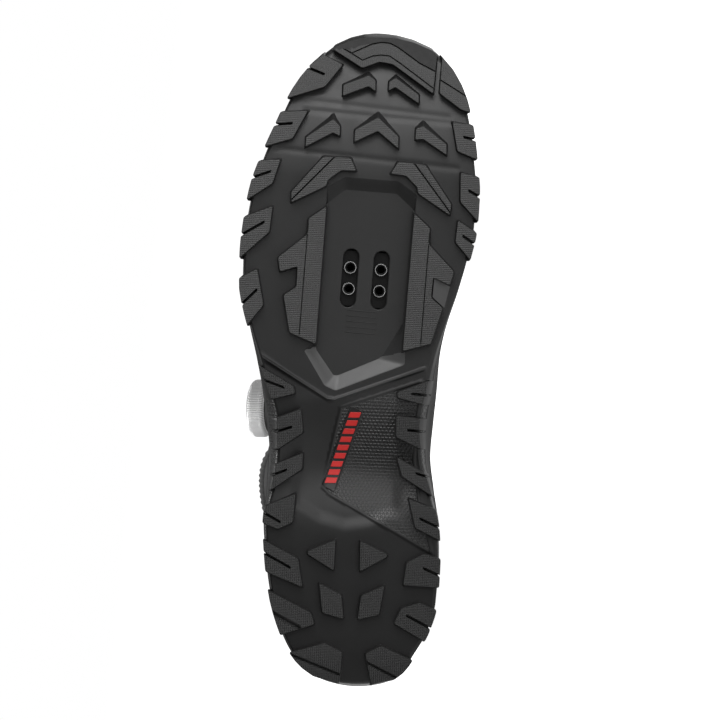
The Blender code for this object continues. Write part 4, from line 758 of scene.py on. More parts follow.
TOE = np.array([(97.6, -19.8), (94.7, -6.7), (95.8, 0.5), (95.5, 6.0), (91.0, 23.8), (97.2, 24.9)]) * SHARES
TOE_GROOVES = (
    [(289, -15.4), (287.1, -12.1), (284.3, -7.3), (286.4, -2.7), (287, 1.3), (286.7, 5), (283.5, 9.9),
     (272.5, 25.3)],
    [(287.5, -12.1), (291.9, -3.3), (292.9, 1.1), (292.6, 5.1), (290.7, 8.9), (283.8, 18.8), (280.2, 26.2)],
)
TOE_PLATE = [(288.9, -20), (288.9, -14.5), *TOE_GROOVES[1][1:-1], (279.4, 28), (260, 30), (265, -30)]
TIP = (("medial", 98.0), ("medial", 99.2), ("medial", 99.8),
       ("lateral", 99.8), ("lateral", 99.2), ("lateral", 98.0))
corners = [*TOE, *(tread_point(side, s) for side, s in TIP)]
add_lug("forefoot", corners, [0] * 6 + [1] * 6, [(line, 0.36, 1.3) for line in TOE_GROOVES])
toe_points, (toe_triangles,) = lug_faces["forefoot"].pop()
middle = toe_points[toe_triangles].mean(1)
textured = inside(middle[:, 0], middle[:, 1], TOE_PLATE)
lug_faces["forefoot"].append((toe_points, [toe_triangles[textured]]))
# The bumper's smooth rubber has the darker painted-shade colour.
make("toe_bumper", (toe_points, [toe_triangles[~textured]]), rubber_painted_shade, ["outsole"], sharp=50)

# Ramp in the notch of the medial rail, a smooth slope from the rail's face down to the floor. It is moulded
# with the rail and catches the light.
NOTCH = np.array([(186.8, 29.0, 0.9), (183.5, 36.4, 4.5), (172.9, 34.0, 4.5), (177.6, 28.5, 0.9)])
u, v = (grid[..., None] for grid in np.meshgrid(np.linspace(0, 1, 10), np.linspace(0, 1, 10), indexing="ij"))
slope = (NOTCH[0] * (1 - u) + NOTCH[1] * u) * (1 - v) + (NOTCH[3] * (1 - u) + NOTCH[2] * u) * v
make("notch_ramp", loft(slope, closed=False), rubber_smooth, ["outsole"], DOWN)

# Lug faces, walls and ribs: all the blocks are one moulding with the tread floor. Their ground faces carry fine
# ribs in the forefoot and a cross-hatch behind it. Their walls are plain and painted darker than the floor as
# painted shade, and their outer ribs are plain.
# Painted shade: the ribbed and hatched lug faces darken towards the heel, keeping 0.4 and 0.45 of their colour
# there.
rubber_ribbed = surface("lug_rubber_ribbed", 0.031, 0.041, 0.5, 0.07, 50.0, 0.42, heel=0.4)
tree = rubber_ribbed.node_tree
x, y = plan_axes(tree)
ribs = value(tree, "MULTIPLY_ADD", wave(tree, x, y, 0.9, 90), 0.5, wave(tree, x, y, 0.85, 0))
add_bump(rubber_ribbed, ribs, 0.55, 0.14)
rubber_hatched = surface("lug_rubber_hatched", 0.02, 0.028, 0.5, 0.07, 50.0, 0.4, heel=0.45)
tree = rubber_hatched.node_tree
x, y = plan_axes(tree)
hatch = value(tree, "MULTIPLY", wave(tree, x, y, 1.15, 38), wave(tree, x, y, 1.15, -38))
add_bump(rubber_hatched, hatch, 0.8, 0.18)
for zone, material in (("forefoot", rubber_ribbed), ("waist", rubber_hatched), ("heel", rubber_hatched)):
    make("lug_faces_" + zone, join(lug_faces[zone]), material, ["outsole"], DOWN, sharp=30)
make("lug_walls", join(lug_walls), rubber_painted_shade, ["outsole"], sharp=40)
make("lug_ribs", join(lug_ribs), rubber, ["outsole"], sharp=50)

# Side wall: the rubber cup that the midsole is cemented into, from the tread floor round its corner up to the
# rim and over it. Between the waist's lugs it carries the same knurl as the waist panel.
RIM_COLUMN = {"lateral": 2, "medial": 3}


def rim_height(station, side):
    """The top of the rubber wall; round the toe it climbs over the upper."""
    rim = curve_through(SIDE, RIM_COLUMN[side], station) * HEEL_STACK / 100
    return tread_height(station) + rim + 8.0 * smooth_step(86, 95, station)


station = LOOP_STATION
rim = by_side(rim_height(station, "lateral"), rim_height(station, "medial"))
root = tread_height(station) + LUG_HEIGHT
rings = []
for angle in np.linspace(0, math.pi / 2, 6):
    rise = 1 - math.cos(angle)
    rings.append(sole_ring(root + 1.6 * rise, 2.6 - 1.6 * math.sin(angle), 2.5 * rise))
for share in np.linspace(0.08, 0.9, 10):
    rings.append(sole_ring(root + 1.6 + (rim - root - 1.6) * share, 1.0 - 0.6 * share))
for angle in np.linspace(0, math.pi, 7):
    rings.append(sole_ring(rim - 0.6 + 0.6 * math.sin(angle), 1.0 - 0.6 * math.cos(angle)))
rings.append(sole_ring(rim - 2.5, 1.7))
wall_points, (quads,) = loft(rings)
level = quads[:, 0] // len(station)
at = wall_points[quads, 0].mean(1) * 100 / LENGTH
waist_side = (level > 1) & (level < 16) & (at > 18.5) & (at < 47.5)
make("rubber_wall", (wall_points, [quads[~waist_side]]), rubber, ["outsole"])
make("waist_wall", (wall_points, [quads[waist_side]]), knurled, ["outsole"])

# Midsole: one moulding of smooth foam, cemented into the rubber cup. It stands proud of the rim along the
# sides, tucks in behind the bumper at the toe, and its top is flat for the upper.
foam = surface("midsole_foam", 0.018, 0.027, 0.55, 0.06, 30.0, 0.3)
grain(foam, 900.0, 0.08, 0.1)
top = stack_height(station)
shelf = np.minimum(rim + 0.3, top - 1.2)
toe = smooth_step(77, 84, station)
flush = (1 - toe) * 0.5 + toe * 3.8
rings = [sole_ring(shelf + rise, flush + inset) for rise, inset in ((-1.2, 2.0), (0.0, 0.7), (0.15, 0.25))]
for share in np.linspace(0.1, 1, 8):
    belly = 0.35 * math.sin(math.pi * share)
    rings.append(sole_ring(shelf + 0.2 + (top - 0.9 - shelf) * share, flush + belly * (1 - toe)))
rings += [sole_ring(top + rise, flush + inset) for rise, inset in ((-0.25, 0.2), (0.0, 0.7), (0.05, 5.0))]
make("midsole_band", loft(rings), foam, ["midsole"])

# Cleat plate: moulded nylon that fills the pocket's floor, held by the midsole above it. Two long slots let
# the cleat slide, and five fine gauge lines behind them show its place.
PLATE_RECESS = 7.5
nylon = surface("plate_nylon", 0.011, 0.016, 0.47, 0.05, 40.0, 0.36)
grain(nylon, 1500.0, 0.12, 0.05)


def slot_loop(centre_u, centre_v, length, width, steps=12):
    """A slot with round ends along the pocket's axis."""
    arc = np.linspace(-math.pi / 2, math.pi / 2, steps)
    straight = (length - width) / 2
    u = np.concatenate([straight + width / 2 * np.cos(arc), -straight - width / 2 * np.cos(arc)])
    v = np.concatenate([width / 2 * np.sin(arc), -width / 2 * np.sin(arc)])
    return pocket_point(centre_u + u, centre_v + v)


def at_height(loop, z):
    """A plan loop lifted to one height."""
    return np.column_stack([loop, np.full(len(loop), z)])


plate_edge = rounded(mitred(plate_corners, -1.0), 1.8, 2.0)
slots = [slot_loop(0.1, sign * 7.0, 27.5, 7.9) for sign in (-1, 1)]
plan, triangles = flat_mesh([plate_edge, *slots], (), 2.0)
parts = [(at_height(plan, PLATE_RECESS), [triangles])]
for sign in (-1, 1):
    parts.append(loft([at_height(slot_loop(0.1, sign * 7.0, 26.5 + grow, 6.9 + grow), PLATE_RECESS + drop)
                       for grow, drop in ((1.0, 0.0), (0.55, 0.08), (0.15, 0.3), (0.0, 0.7), (0.0, 2.0))]))
for u in np.linspace(-14.5, -24.5, 5):
    rings = []
    for inset, lift in ((0.0, -0.05), (0.08, 0.14), (0.22, 0.2)):
        low, high, end = u - 0.28 + inset, u + 0.28 - inset, 7 - inset
        corners = pocket_point([low, high, high, low], [-end, -end, end, end])
        rings.append(at_height(corners, PLATE_RECESS - lift))
    points, faces = loft(rings)
    parts.append((points, faces + [np.array([[8, 9, 10, 11]])]))
make("plate", join(parts), nylon, ["cleat_plate"], DOWN, sharp=40)

# Nut plate: pressed dark steel that lies loose behind the slots, with four threaded bosses for the cleat's
# bolts. Their rims are worn bright.
steel = surface("nut_steel", 0.003, 0.008, 0.5, 0.08, 200.0, 0.15, 0.2)
bright = surface("boss_rim_steel", 0.4, 0.6, 0.25, 0.06, 300.0, 0.5, 0.8)
under = PLATE_RECESS + 2.3
BOSS_PROFILE = ((1.95, 2.7), (1.95, -1.3), (2.36, -1.75), (2.46, -1.9), (2.68, -1.9), (2.85, -1.7),
                (2.85, -0.2))  # radius and height from the plate, in mm
THREAD_PROFILE = ((1.96, 0.0), (1.65, 0.22), (1.96, 0.44))


def boss_rings(u, v, profile, height):
    """Round rings in the pocket through (radius, height) pairs, counted from a height."""
    return [at_height(slot_loop(u, v, 2 * radius, 2 * radius), height + drop) for radius, drop in profile]


bosses = [(u, v) for u in (-4.85, 4.85) for v in (-7.0, 7.0)]
corners = pocket_point([10.05, 10.05, -10.05, -10.05], [-12.2, 12.2, 12.2, -12.2])
holes = [slot_loop(u, v, 4.2, 4.2) for u, v in bosses]
plan, triangles = flat_mesh([rounded(mitred(corners, -2.5), 1.0, 2.0), *holes], (), 2.0)
parts = [(at_height(plan, under), [triangles])]
rims = []
for u, v in bosses:
    rings = boss_rings(u, v, BOSS_PROFILE, under)
    parts += [loft(rings[:3]), loft(rings[5:])]
    rims.append(loft(rings[2:6]))
    parts += [loft(boss_rings(u, v, THREAD_PROFILE, under - 1.0 + 0.6 * turn)) for turn in range(5)]
make("nut_plate", join(parts), steel, ["cleat_nut"], sharp=40)
make("boss_rims", join(rims), bright, ["cleat_nut"], sharp=40)

# Upper: synthetic leather over a cloth lining, pulled over the last and cemented to the midsole. Points on it
# go by station and turn, 0 at the sole's edge and 100 at the ridge; three creases show where the toes bend.
INSTEP_HEIGHT = 98.0
UPPER_WALL = 2.4
THROAT_FRONT = 73.5
# The last: ridge height, shift of the ridge, fullness of the section and how far up the wall goes
LAST = np.array([
    (0.0, 102.0, -1.0, 2.3, 46.0), (5.0, 105.0, -1.5, 2.3, 44.0), (10.0, 108.0, -2.0, 2.2, 38.5),
    (15.0, 111.0, -2.5, 2.2, 34.0), (20.0, 113.0, -2.5, 2.15, 32.0), (26.0, 112.0, -2.0, 2.1, 34.0),
    (32.0, 106.0, -1.0, 2.1, 43.0), (37.0, 99.0, 0.0, 2.1, 60.0), (41.0, 92.5, 1.0, 2.1, 72.0),
    (50.0, 78.0, 2.0, 2.15, 78.0), (58.0, 66.0, 2.5, 2.25, 82.0), (66.0, 56.5, 3.0, 2.4, 87.0),
    (71.0, 51.0, 3.0, 2.5, 92.0), (74.0, 48.5, 3.0, 2.5, 100.0), (82.0, 42.0, 3.0, 2.6, 100.0),
    (90.0, 34.5, 2.0, 2.6, 100.0), (95.0, 28.0, 1.5, 2.6, 100.0), (98.0, 20.0, 1.0, 2.5, 100.0),
    (100.0, 0.0, 0.0, 2.4, 100.0),
])
LAST_COLUMN = {"ridge": 1, "shift": 2, "fullness": 3, "wrap": 4}


def last_value(name, station):
    """A column of the last at any station."""
    return curve_through(LAST, LAST_COLUMN[name], station)


def last_point(station, side, turn):
    """A point of the last: a quarter of a superellipse over the sole's edge."""
    station = np.asarray(station, float)
    angle = np.clip(np.asarray(turn, float), 0, 200) * math.pi / 200
    ledge = 1.2 + 2.8 * smooth_step(80, 90, station)
    shrink = (LENGTH - 8.0) / LENGTH
    fade = np.clip(np.minimum(station, 100 - station) / 12, 0, 1) ** 0.5
    shift = last_value("shift", station) * BALL_WIDTH / 100 * fade
    width = np.clip(half_width("top_" + side, station) - ledge * fade, 0, None)
    power = 2 / last_value("fullness", station)
    out = (width - SIGN[side] * shift) * np.abs(np.cos(angle)) ** power
    ridge = last_value("ridge", station) * INSTEP_HEIGHT / 100
    z = stack_height(station) + 0.5 + ridge * np.abs(np.sin(angle)) ** power
    x = LENGTH / 2 + (station / 100 - 0.5) * LENGTH * shrink - 2.0 * smooth_step(10, 0, station)
    rise = (z - stack_height(station)) / INSTEP_HEIGHT
    heel = np.clip((14 - station) / 14, 0, 1) ** 2
    x = x + heel * (7 * rise**2 - 5 * np.sin(np.clip(rise / 0.7, 0, 1) * math.pi))
    return np.stack([x, shift + SIGN[side] * out, z], axis=-1)


def skin_normal(station, side, turn):
    """Outward unit normals of the last, from small steps along station and turn."""
    s = np.clip(np.asarray(station, float), 0.6, 99.2)
    t = np.clip(np.asarray(turn, float), 0.6, 99.4)
    along = last_point(s + 0.4, side, t) - last_point(s - 0.4, side, t)
    up = last_point(s, side, t + 0.5) - last_point(s, side, t - 0.5)
    normal = np.cross(along, up) * -SIGN[side]
    return normal / np.linalg.norm(normal, axis=-1, keepdims=True)


def wrap_at(station):
    """How far up the section the upper's wall goes."""
    return np.where(np.asarray(station) >= THROAT_FRONT, 100.0, last_value("wrap", station))


def skin(station, side, turn, lift=0.0):
    """A point of the upper's outside, moved outwards by lift."""
    station, turn = np.broadcast_arrays(np.asarray(station, float), np.asarray(turn, float))
    share = turn / wrap_at(station)
    pad = 2.6 * smooth_step(44, 34, station) * np.sin(math.pi * smooth_step(0.62, 1.18, share))
    if side == "lateral":
        pad = pad + 11.0 * smooth_step(20, 33, station) * smooth_step(41, 35, station) * share**2
    return last_point(station, side, turn) + skin_normal(station, side, turn) * (pad + lift)[..., None]


def skin_map(station, turn):
    """The upper's own map in mm: along by station and up by turn."""
    return np.stack([station * 2.96, turn * 1.15], axis=-1)


def with_maps(parts):
    """Joins (points, faces, map) parts into one part and its map."""
    return join([(p, f) for p, f, _ in parts]), np.concatenate([m.reshape(-1, 2) for _, _, m in parts])


synthetic = surface("upper_synthetic", 0.018, 0.028, 0.45, 0.08, 35.0, 0.4)
grain(synthetic, 1300.0, 0.25, 0.12)
cloth = surface("lining_cloth", 0.012, 0.02, 0.85, 0.06, 70.0, 0.2, sheen=0.3)
grain(cloth, 1500.0, 0.4, 0.2)
CREASES = ((63.5, 0.55, 0.55), (66.4, 0.75, 0.6), (69.3, 0.6, 0.55))
crowded = 50 * (1 - np.cos(np.linspace(0, math.pi, 121)))
skin_stations = np.unique([*crowded, *np.linspace(4, 96, 150), THROAT_FRONT - 0.01, THROAT_FRONT])
outsides, linings = [], []
for side in SIGN:
    s, share = np.meshgrid(skin_stations, np.linspace(0, 1, 45), indexing="ij")
    t = share * wrap_at(s)
    flex = np.zeros_like(s)
    for centre, depth, spread in CREASES:
        bend = centre + 2.2 * (1 - t / 100) ** 2
        flex += depth * np.exp(-((s - bend) / spread) ** 2) * smooth_step(25, 60, t)
    lip = skin(s[:, -1:], side, t[:, -1:], -UPPER_WALL * 0.5)
    lip[:, 0, 2] += np.where(skin_stations < THROAT_FRONT, 0.6, 0.0)
    outer = skin(s, side, t, -flex)
    inner = skin(s, side, t, -UPPER_WALL - flex * 0.5)
    own_map = skin_map(*(np.pad(grid, ((0, 0), (0, 1)), mode="edge") for grid in (s, t)))
    outsides.append((*loft(np.concatenate([outer, lip], axis=1), closed=False), own_map))
    linings.append((*loft(np.concatenate([lip, inner[:, ::-1]], axis=1), closed=False), own_map))
for name, parts, material in (("upper_skin", outsides, synthetic), ("upper_lining", linings, cloth)):
    part, part_map = with_maps(parts)
    make(name, part, material, ["upper"], uv=part_map)

# Overlays: welded on the upper, with rolled edges. The toe cap, heel counter and foxing are rubbery, the
# eyestays and the saddle under the dial are smooth, and the vamp is a woven panel that the creases run
# through.
ROLLED_EDGE = ((0.25, 0.3), (0.4, 1.0), (0.4, 1.5))  # out past the border in mm, and share of the lift down


def overlay(side, back, front, low, high, lift, size, joined):
    """A patch lifted off the upper between two stations and two turns, its edges rolled down to the upper.

    back and front give the station by the share up the patch, low and high the turn by the station. joined
    names the borders that meet another patch and stay open.
    """
    u, v = np.meshgrid(np.linspace(0, 1, size[0]), np.linspace(0, 1, size[1]), indexing="ij")
    station = back(v) * (1 - u) + front(v) * u
    turn = low(station) * (1 - v) + high(station) * v
    grids = [skin(station, side, turn, lift), skin_normal(station, side, turn), skin_map(station, turn)]
    for axis, end, name in ((0, 0, "back"), (0, -1, "front"), (1, 0, "low"), (1, -1, "high")):
        if name in joined:
            continue
        edge, out, edge_map = (np.take(grid, [end], axis) for grid in grids)
        inward = np.take(grids[0], [1 if end == 0 else -2], axis) - edge
        width = np.linalg.norm(inward, axis=-1, keepdims=True)
        inward /= np.where(width > 1e-6, width, 1)
        rolled = [edge - inward * reach - out * lift * drop for reach, drop in ROLLED_EDGE]
        for k, extra in enumerate((rolled, [out] * 3, [edge_map] * 3)):
            grids[k] = np.concatenate([*extra[::-1], grids[k]] if end == 0 else [grids[k], *extra], axis)
    return *loft(grids[0], closed=False), grids[2]


def fixed(number):
    """A border at one station or turn."""
    return lambda at: np.full(np.shape(at), float(number))


def eyestay_edge(station):
    """The eyestays' outer edge, a band's width below the throat."""
    return wrap_at(station) - 15


def foxing_edge(station):
    """The foxing's top: low along the waist, higher at the toe cap and at the heel counter."""
    return 9 + 3.5 * smooth_step(70, 86, station) + 5 * smooth_step(26, 14, station)


OVERLAYS = {
    # back, front, low, high, lift (mm), counts along and up, joined borders
    "rand": (
        (lambda v: 85.5 + 4.5 * v, fixed(99.6), fixed(0.5), fixed(100), 0.9, (46, 40),
         ("front", "high", "low")),
        (fixed(0.4), lambda v: 17.5 - 7 * v, fixed(0.5), lambda s: wrap_at(s) * 0.62, 0.9, (40, 20),
         ("back", "low")),
        (fixed(15), fixed(88), fixed(0.5), foxing_edge, 0.7, (150, 5), ("low",)),
    ),
    "smooth": (
        (fixed(37.5), fixed(72.8), eyestay_edge, lambda s: wrap_at(s) - 0.6, 0.7, (110, 8), ()),
        (lambda v: 41 - 3 * v, lambda v: 56 - 5 * v, fixed(11), lambda s: wrap_at(s) - 14, 0.6, (50, 22), ()),
    ),
    "textile": (
        (lambda v: 58 + 3 * v, lambda v: 84 + 3.5 * v, fixed(19),
         lambda s: np.where(s > THROAT_FRONT, 100, wrap_at(s) - 16), 0.3, (80, 26), ("high",)),
    ),
}
rand_rubber = surface("toe_rand", 0.024, 0.034, 0.45, 0.07, 35.0, 0.45)
grain(rand_rubber, 700.0, 0.3, 0.15)
textile = surface("vamp_textile", 0.014, 0.034, 0.75, 0.08, 90.0, 0.3, sheen=0.25)
tree = textile.node_tree
x, y = plan_axes(tree)
add_bump(textile, value(tree, "MULTIPLY", wave(tree, x, y, 1.7, 45), wave(tree, x, y, 1.7, -45)), 0.8, 0.3)
for name, material in (("rand", rand_rubber), ("smooth", synthetic), ("textile", textile)):
    part, part_map = with_maps([overlay(side, *patch) for side in SIGN for patch in OVERLAYS[name]])
    make("overlay_" + name, part, material, ["upper"], uv=part_map)

# Stitches: bonded polyester thread along the overlays' edges, which sews them to the upper. Each is a short
# rounded bead that lies in its hole.
thread = surface("thread", 0.06, 0.09, 0.6, 0.05, 200.0, 0.4)
PITCH, HALF_STITCH, THREAD_RADIUS = 2.9, 1.0, 0.3


def stitches(line, normals):
    """Rounded beads along a line of points, one every pitch, humped away from the upper."""
    run = np.concatenate([[0], np.cumsum(np.linalg.norm(np.diff(line, axis=0), axis=1))])

    def sample(points, at):
        return np.stack([np.interp(at, run, points[:, k]) for k in range(3)], axis=1)

    at = np.arange(PITCH, run[-1] - PITCH, PITCH)
    place, out = sample(line, at), sample(normals, at)
    ahead = sample(line, at + 0.5) - place
    ahead /= np.linalg.norm(ahead, axis=1, keepdims=True)
    out /= np.linalg.norm(out, axis=1, keepdims=True)
    across = np.cross(out, ahead)
    angle = np.linspace(0, 2 * math.pi, 6, endpoint=False)[:, None]
    rings = []
    for share, size in ((-1.0, 0.05), (-0.85, 0.6), (-0.4, 1.0), (0.4, 1.0), (0.85, 0.6), (1.0, 0.05)):
        centre = place + ahead * share * HALF_STITCH + out * THREAD_RADIUS * (0.5 - abs(share) * 0.6)
        circle = np.cos(angle) * across[:, None] + np.sin(angle) * out[:, None]
        rings.append(centre[:, None] + THREAD_RADIUS * size * circle)
    beads = np.stack(rings, axis=1)
    return join([loft(bead) for bead in beads])


seams = []
climb = np.linspace(0, 1, 60)
for side in SIGN:
    stay = np.linspace(40, 72.0, 120)
    stay_top = np.linspace(40, 72.6, 120)
    counter = 17.5 - 7 * climb - 0.75
    rows = (
        (85.5 + 4.5 * np.linspace(0, 1, 90) + 0.75, np.linspace(3, 100, 90), 0.95),
        (stay, wrap_at(stay) - 13.6, 0.75),
        (stay_top, wrap_at(stay_top) - 2.0, 0.75),
        (counter, wrap_at(counter + 0.75) * 0.6 * np.linspace(0.12, 1, 60), 0.95),
        (56 - 5 * climb - 0.7, 11 + (wrap_at(51.0) - 25) * np.linspace(0.04, 0.97, 60), 0.65),
        (41 - 3 * climb + 0.7, 11 + (wrap_at(38.0) - 25) * np.linspace(0.04, 0.97, 60), 0.65),
    )
    seams += [stitches(skin(s, side, t, lift), skin_normal(s, side, t)) for s, t, lift in rows]
make("upper_stitches", join(seams), thread, ["upper"])

# Collar: foam rolled in ribbed knit over the top line, from one side of the throat round the heel to the
# other. It is sewn to the upper outside and to the lining inside.
COLLAR = np.array([  # share up the wall and lift (mm), from outside over the top to inside
    (0.78, -0.5), (0.79, 0.5), (0.83, 1.0), (0.90, 1.2), (0.97, 0.9), (1.01, 0.0), (1.03, -1.4), (1.01, -3.0),
    (0.95, -4.4), (0.86, -5.2), (0.74, -5.0), (0.63, -4.0), (0.58, -2.6), (0.57, -2.0),
])
RIB_PITCH = 2.5
knit = surface("collar_knit", 0.016, 0.026, 0.8, 0.06, 80.0, 0.25, sheen=0.3)
grain(knit, 1800.0, 0.4, 0.15)
s = np.concatenate([np.linspace(0.3, 10, 60), np.linspace(10, 42.5, 170)[1:]])[:, None]
t = COLLAR[:, 0] * wrap_at(s)
fade = smooth_step(42.5, 38, s)
ribs = 0.28 * np.cos(2 * math.pi * s * 2.96 / RIB_PITCH) * smooth_step(0.6, 0.9, COLLAR[:, 0])
roll = COLLAR[:, 1] * (0.35 + 0.65 * fade) + ribs * fade
rings = np.concatenate([skin(s, "lateral", t, roll)[::-1], skin(s, "medial", t, roll)])
own_map = skin_map(*np.broadcast_arrays(s, t))
own_map = np.concatenate([own_map[::-1], own_map]).reshape(-1, 2)
collar = make("collar_pad", loft(rings, closed=False), knit, uv=own_map)

# Tongue: a sheet of foam in mesh cloth under the throat's edges, sewn to the vamp at its front. Rows of
# stitching draw it into soft channels.
padding = surface("tongue_mesh", 0.014, 0.022, 0.8, 0.08, 60.0, 0.3, sheen=0.3)
grain(padding, 1600.0, 0.4, 0.2)
s, share = np.meshgrid(np.linspace(34.5, 77, 90), np.linspace(0, 1, 22), indexing="ij")
wrap = np.where(s >= THROAT_FRONT, 90.0, last_value("wrap", s))
low = np.maximum(np.clip(wrap - 11, 50, 84), 78 - 28 * smooth_step(34, 42, s))
t = low + (100 - low) * share
point = np.concatenate([last_point(s, "lateral", t), last_point(s, "medial", t)[:, -2::-1]], axis=1)
normal = np.concatenate([skin_normal(s, "lateral", t), skin_normal(s, "medial", t)[:, -2::-1]], axis=1)
puff = np.abs(np.sin(np.linspace(0, 9 * math.pi, len(s))))[:, None, None] ** 0.5
edge = np.sin(np.linspace(0, math.pi, point.shape[1]))[None, :, None] ** 0.4
outer = point - normal * (UPPER_WALL + 0.6 + 0.5 * (1 - puff) * edge)
inner = point - normal * (UPPER_WALL + 0.6 + 3.4 * (0.35 + 0.65 * edge))
sheet = loft(np.concatenate([outer, inner[:, ::-1]], axis=1))
tongue = make("tongue_pad", sheet, padding, ["tongue"])

# Insole: a foam sheet topped with cloth, laid loose on the midsole. It fills the lining from side to side and
# its edge is slightly cupped.
lining = surface("insole_cloth", 0.022, 0.034, 0.85, 0.06, 60.0, 0.25, sheen=0.3)
grain(lining, 1800.0, 0.4, 0.15)
edge = by_side(*(last_point(LOOP_STATION, side, np.zeros(len(LOOP_STATION)))[:, :2].T for side in SIGN)).T
outline = inset_loop(edge, UPPER_WALL + 0.2)
spine = np.column_stack([np.clip(outline[:, 0], 30, 266), np.zeros(len(outline))])


def on_midsole(plan, lift):
    """Plan points set that far above the midsole."""
    return np.column_stack([plan, stack_height(plan[:, 0] * 100 / LENGTH) + lift])


rings = [on_midsole(spine + share * (outline - spine), lift)
         for share, lift in ((0.96, 0.4), (1.0, 0.6), (1.0, 4.2), (0.985, 4.4), (0.96, 4.3), (0.9, 4.1))]
plan, triangles = flat_mesh([rings[-1][:, :2]], (), 4.0, margin=1.5)
insole = join([loft(rings), (on_midsole(plan, 4.1), [triangles])])
make("insole_top", insole, lining, ["insole"])

# Lace dial: a black nylon housing sewn to the saddle, and a clear silvery knob that snaps on it and turns to
# wind the lace. The knob's rim is finely ribbed for the fingers.


def frame_on_skin(side, station, turn):
    """A point of the last with its outward, forward and upward directions, square to each other."""
    here = last_point(station, side, turn)
    ahead = last_point(station + 0.5, side, turn) - last_point(station - 0.5, side, turn)
    ahead /= np.linalg.norm(ahead)
    up = last_point(station, side, turn + 0.5) - last_point(station, side, turn - 0.5)
    up /= np.linalg.norm(up)
    outward = np.cross(ahead, up)
    outward /= np.linalg.norm(outward)
    if outward[1] * SIGN[side] < 0:
        outward = -outward
    up = np.cross(outward, ahead)
    up /= np.linalg.norm(up)
    if up[2] < 0:
        up = -up
    return here, outward, ahead, up


def placed(points, where):
    """Local points (forward, up, outward) on a frame of the upper."""
    here, outward, ahead, up = where
    points = np.asarray(points, float)
    return here + points[..., :1] * ahead + points[..., 1:2] * up + points[..., 2:3] * outward


def turned(profile, count, dent=0.0, teeth=0):
    """Rings about the outward axis through (radius, height) pairs; dent is the depth of teeth at each ring."""
    angle = np.linspace(0, 2 * math.pi, count, endpoint=False)
    radius, height = np.array(profile, float).T[..., None]
    size = radius - np.reshape(dent, (-1, 1)) * (0.5 - 0.5 * np.cos(angle * teeth))
    return np.stack([size * np.cos(angle), size * np.sin(angle), np.broadcast_to(height, size.shape)], axis=-1)


dial_frame = frame_on_skin("lateral", 41.7, 27.0)
KNOB_RADIUS = 13.35
KNOB_TEETH = 96
KNOB_PROFILE = ((11.2, 3.7), (11.9, 3.75), (12.7, 4.1), (13.2, 4.6), (KNOB_RADIUS, 5.4), (KNOB_RADIUS, 8.6),
                (13.15, 9.6), (12.5, 10.5), (11.6, 11.2), (10.6, 11.65), (9.6, 11.7), (9.0, 11.4), (8.4, 11.2),
                (4.0, 11.35), (0.05, 11.4))
KNOB_DENT = (0, 0, 0.3, 0.65, 0.75, 0.75, 0.7, 0.5, 0.25, 0, 0, 0, 0, 0, 0)
HOUSING_PROFILE = ((12.0, -1.6), (12.0, 2.2), (11.7, 2.9), (11.0, 3.4), (9.0, 3.4), (0.05, 3.5))
silver = surface("dial_silver_painted_glow", 0.84, 0.93, 0.2, 0.05, 120.0, 0.7, 0.15, coat=0.8)
tree = silver.node_tree
shader = tree.nodes["Principled BSDF"]
# Painted glow: the knob emits a little white light, though it is no lamp.
shader.inputs["Emission Color"].default_value = (1, 1, 1, 1)
shader.inputs["Emission Strength"].default_value = 0.18
# Painted shade: the colour runs dark in a stripe beside each rib of the knurl, standing in for the shade
# between the ribs.
tooth = wave(tree, *plan_axes(tree), 2 * math.pi * KNOB_RADIUS / KNOB_TEETH, 0)
groove = node(tree, "ShaderNodeMapRange", {0: tooth, 1: -0.8, 2: 0.3, 3: 0.06, 4: 0.95})
tree.links.new(groove.outputs[0], shader.inputs["Base Color"])
knob = turned(KNOB_PROFILE, 960, KNOB_DENT, KNOB_TEETH)
around = np.linspace(0, 2 * math.pi, 960, endpoint=False) * KNOB_RADIUS
knob_map = np.stack(np.broadcast_arrays(around, np.array(KNOB_PROFILE)[:, 1:]), axis=-1).reshape(-1, 2)
make("dial_cap", loft(placed(knob, dial_frame)), silver, ["dial_knob"], uv=knob_map)
black_nylon = surface("housing_plastic", 0.012, 0.02, 0.4, 0.06, 80.0, 0.5)
grain(black_nylon, 1500.0, 0.15, 0.05)
housing = loft(placed(turned(HOUSING_PROFILE, 96), dial_frame))
make("dial_housing", housing, black_nylon, ["dial_base"], sharp=40)

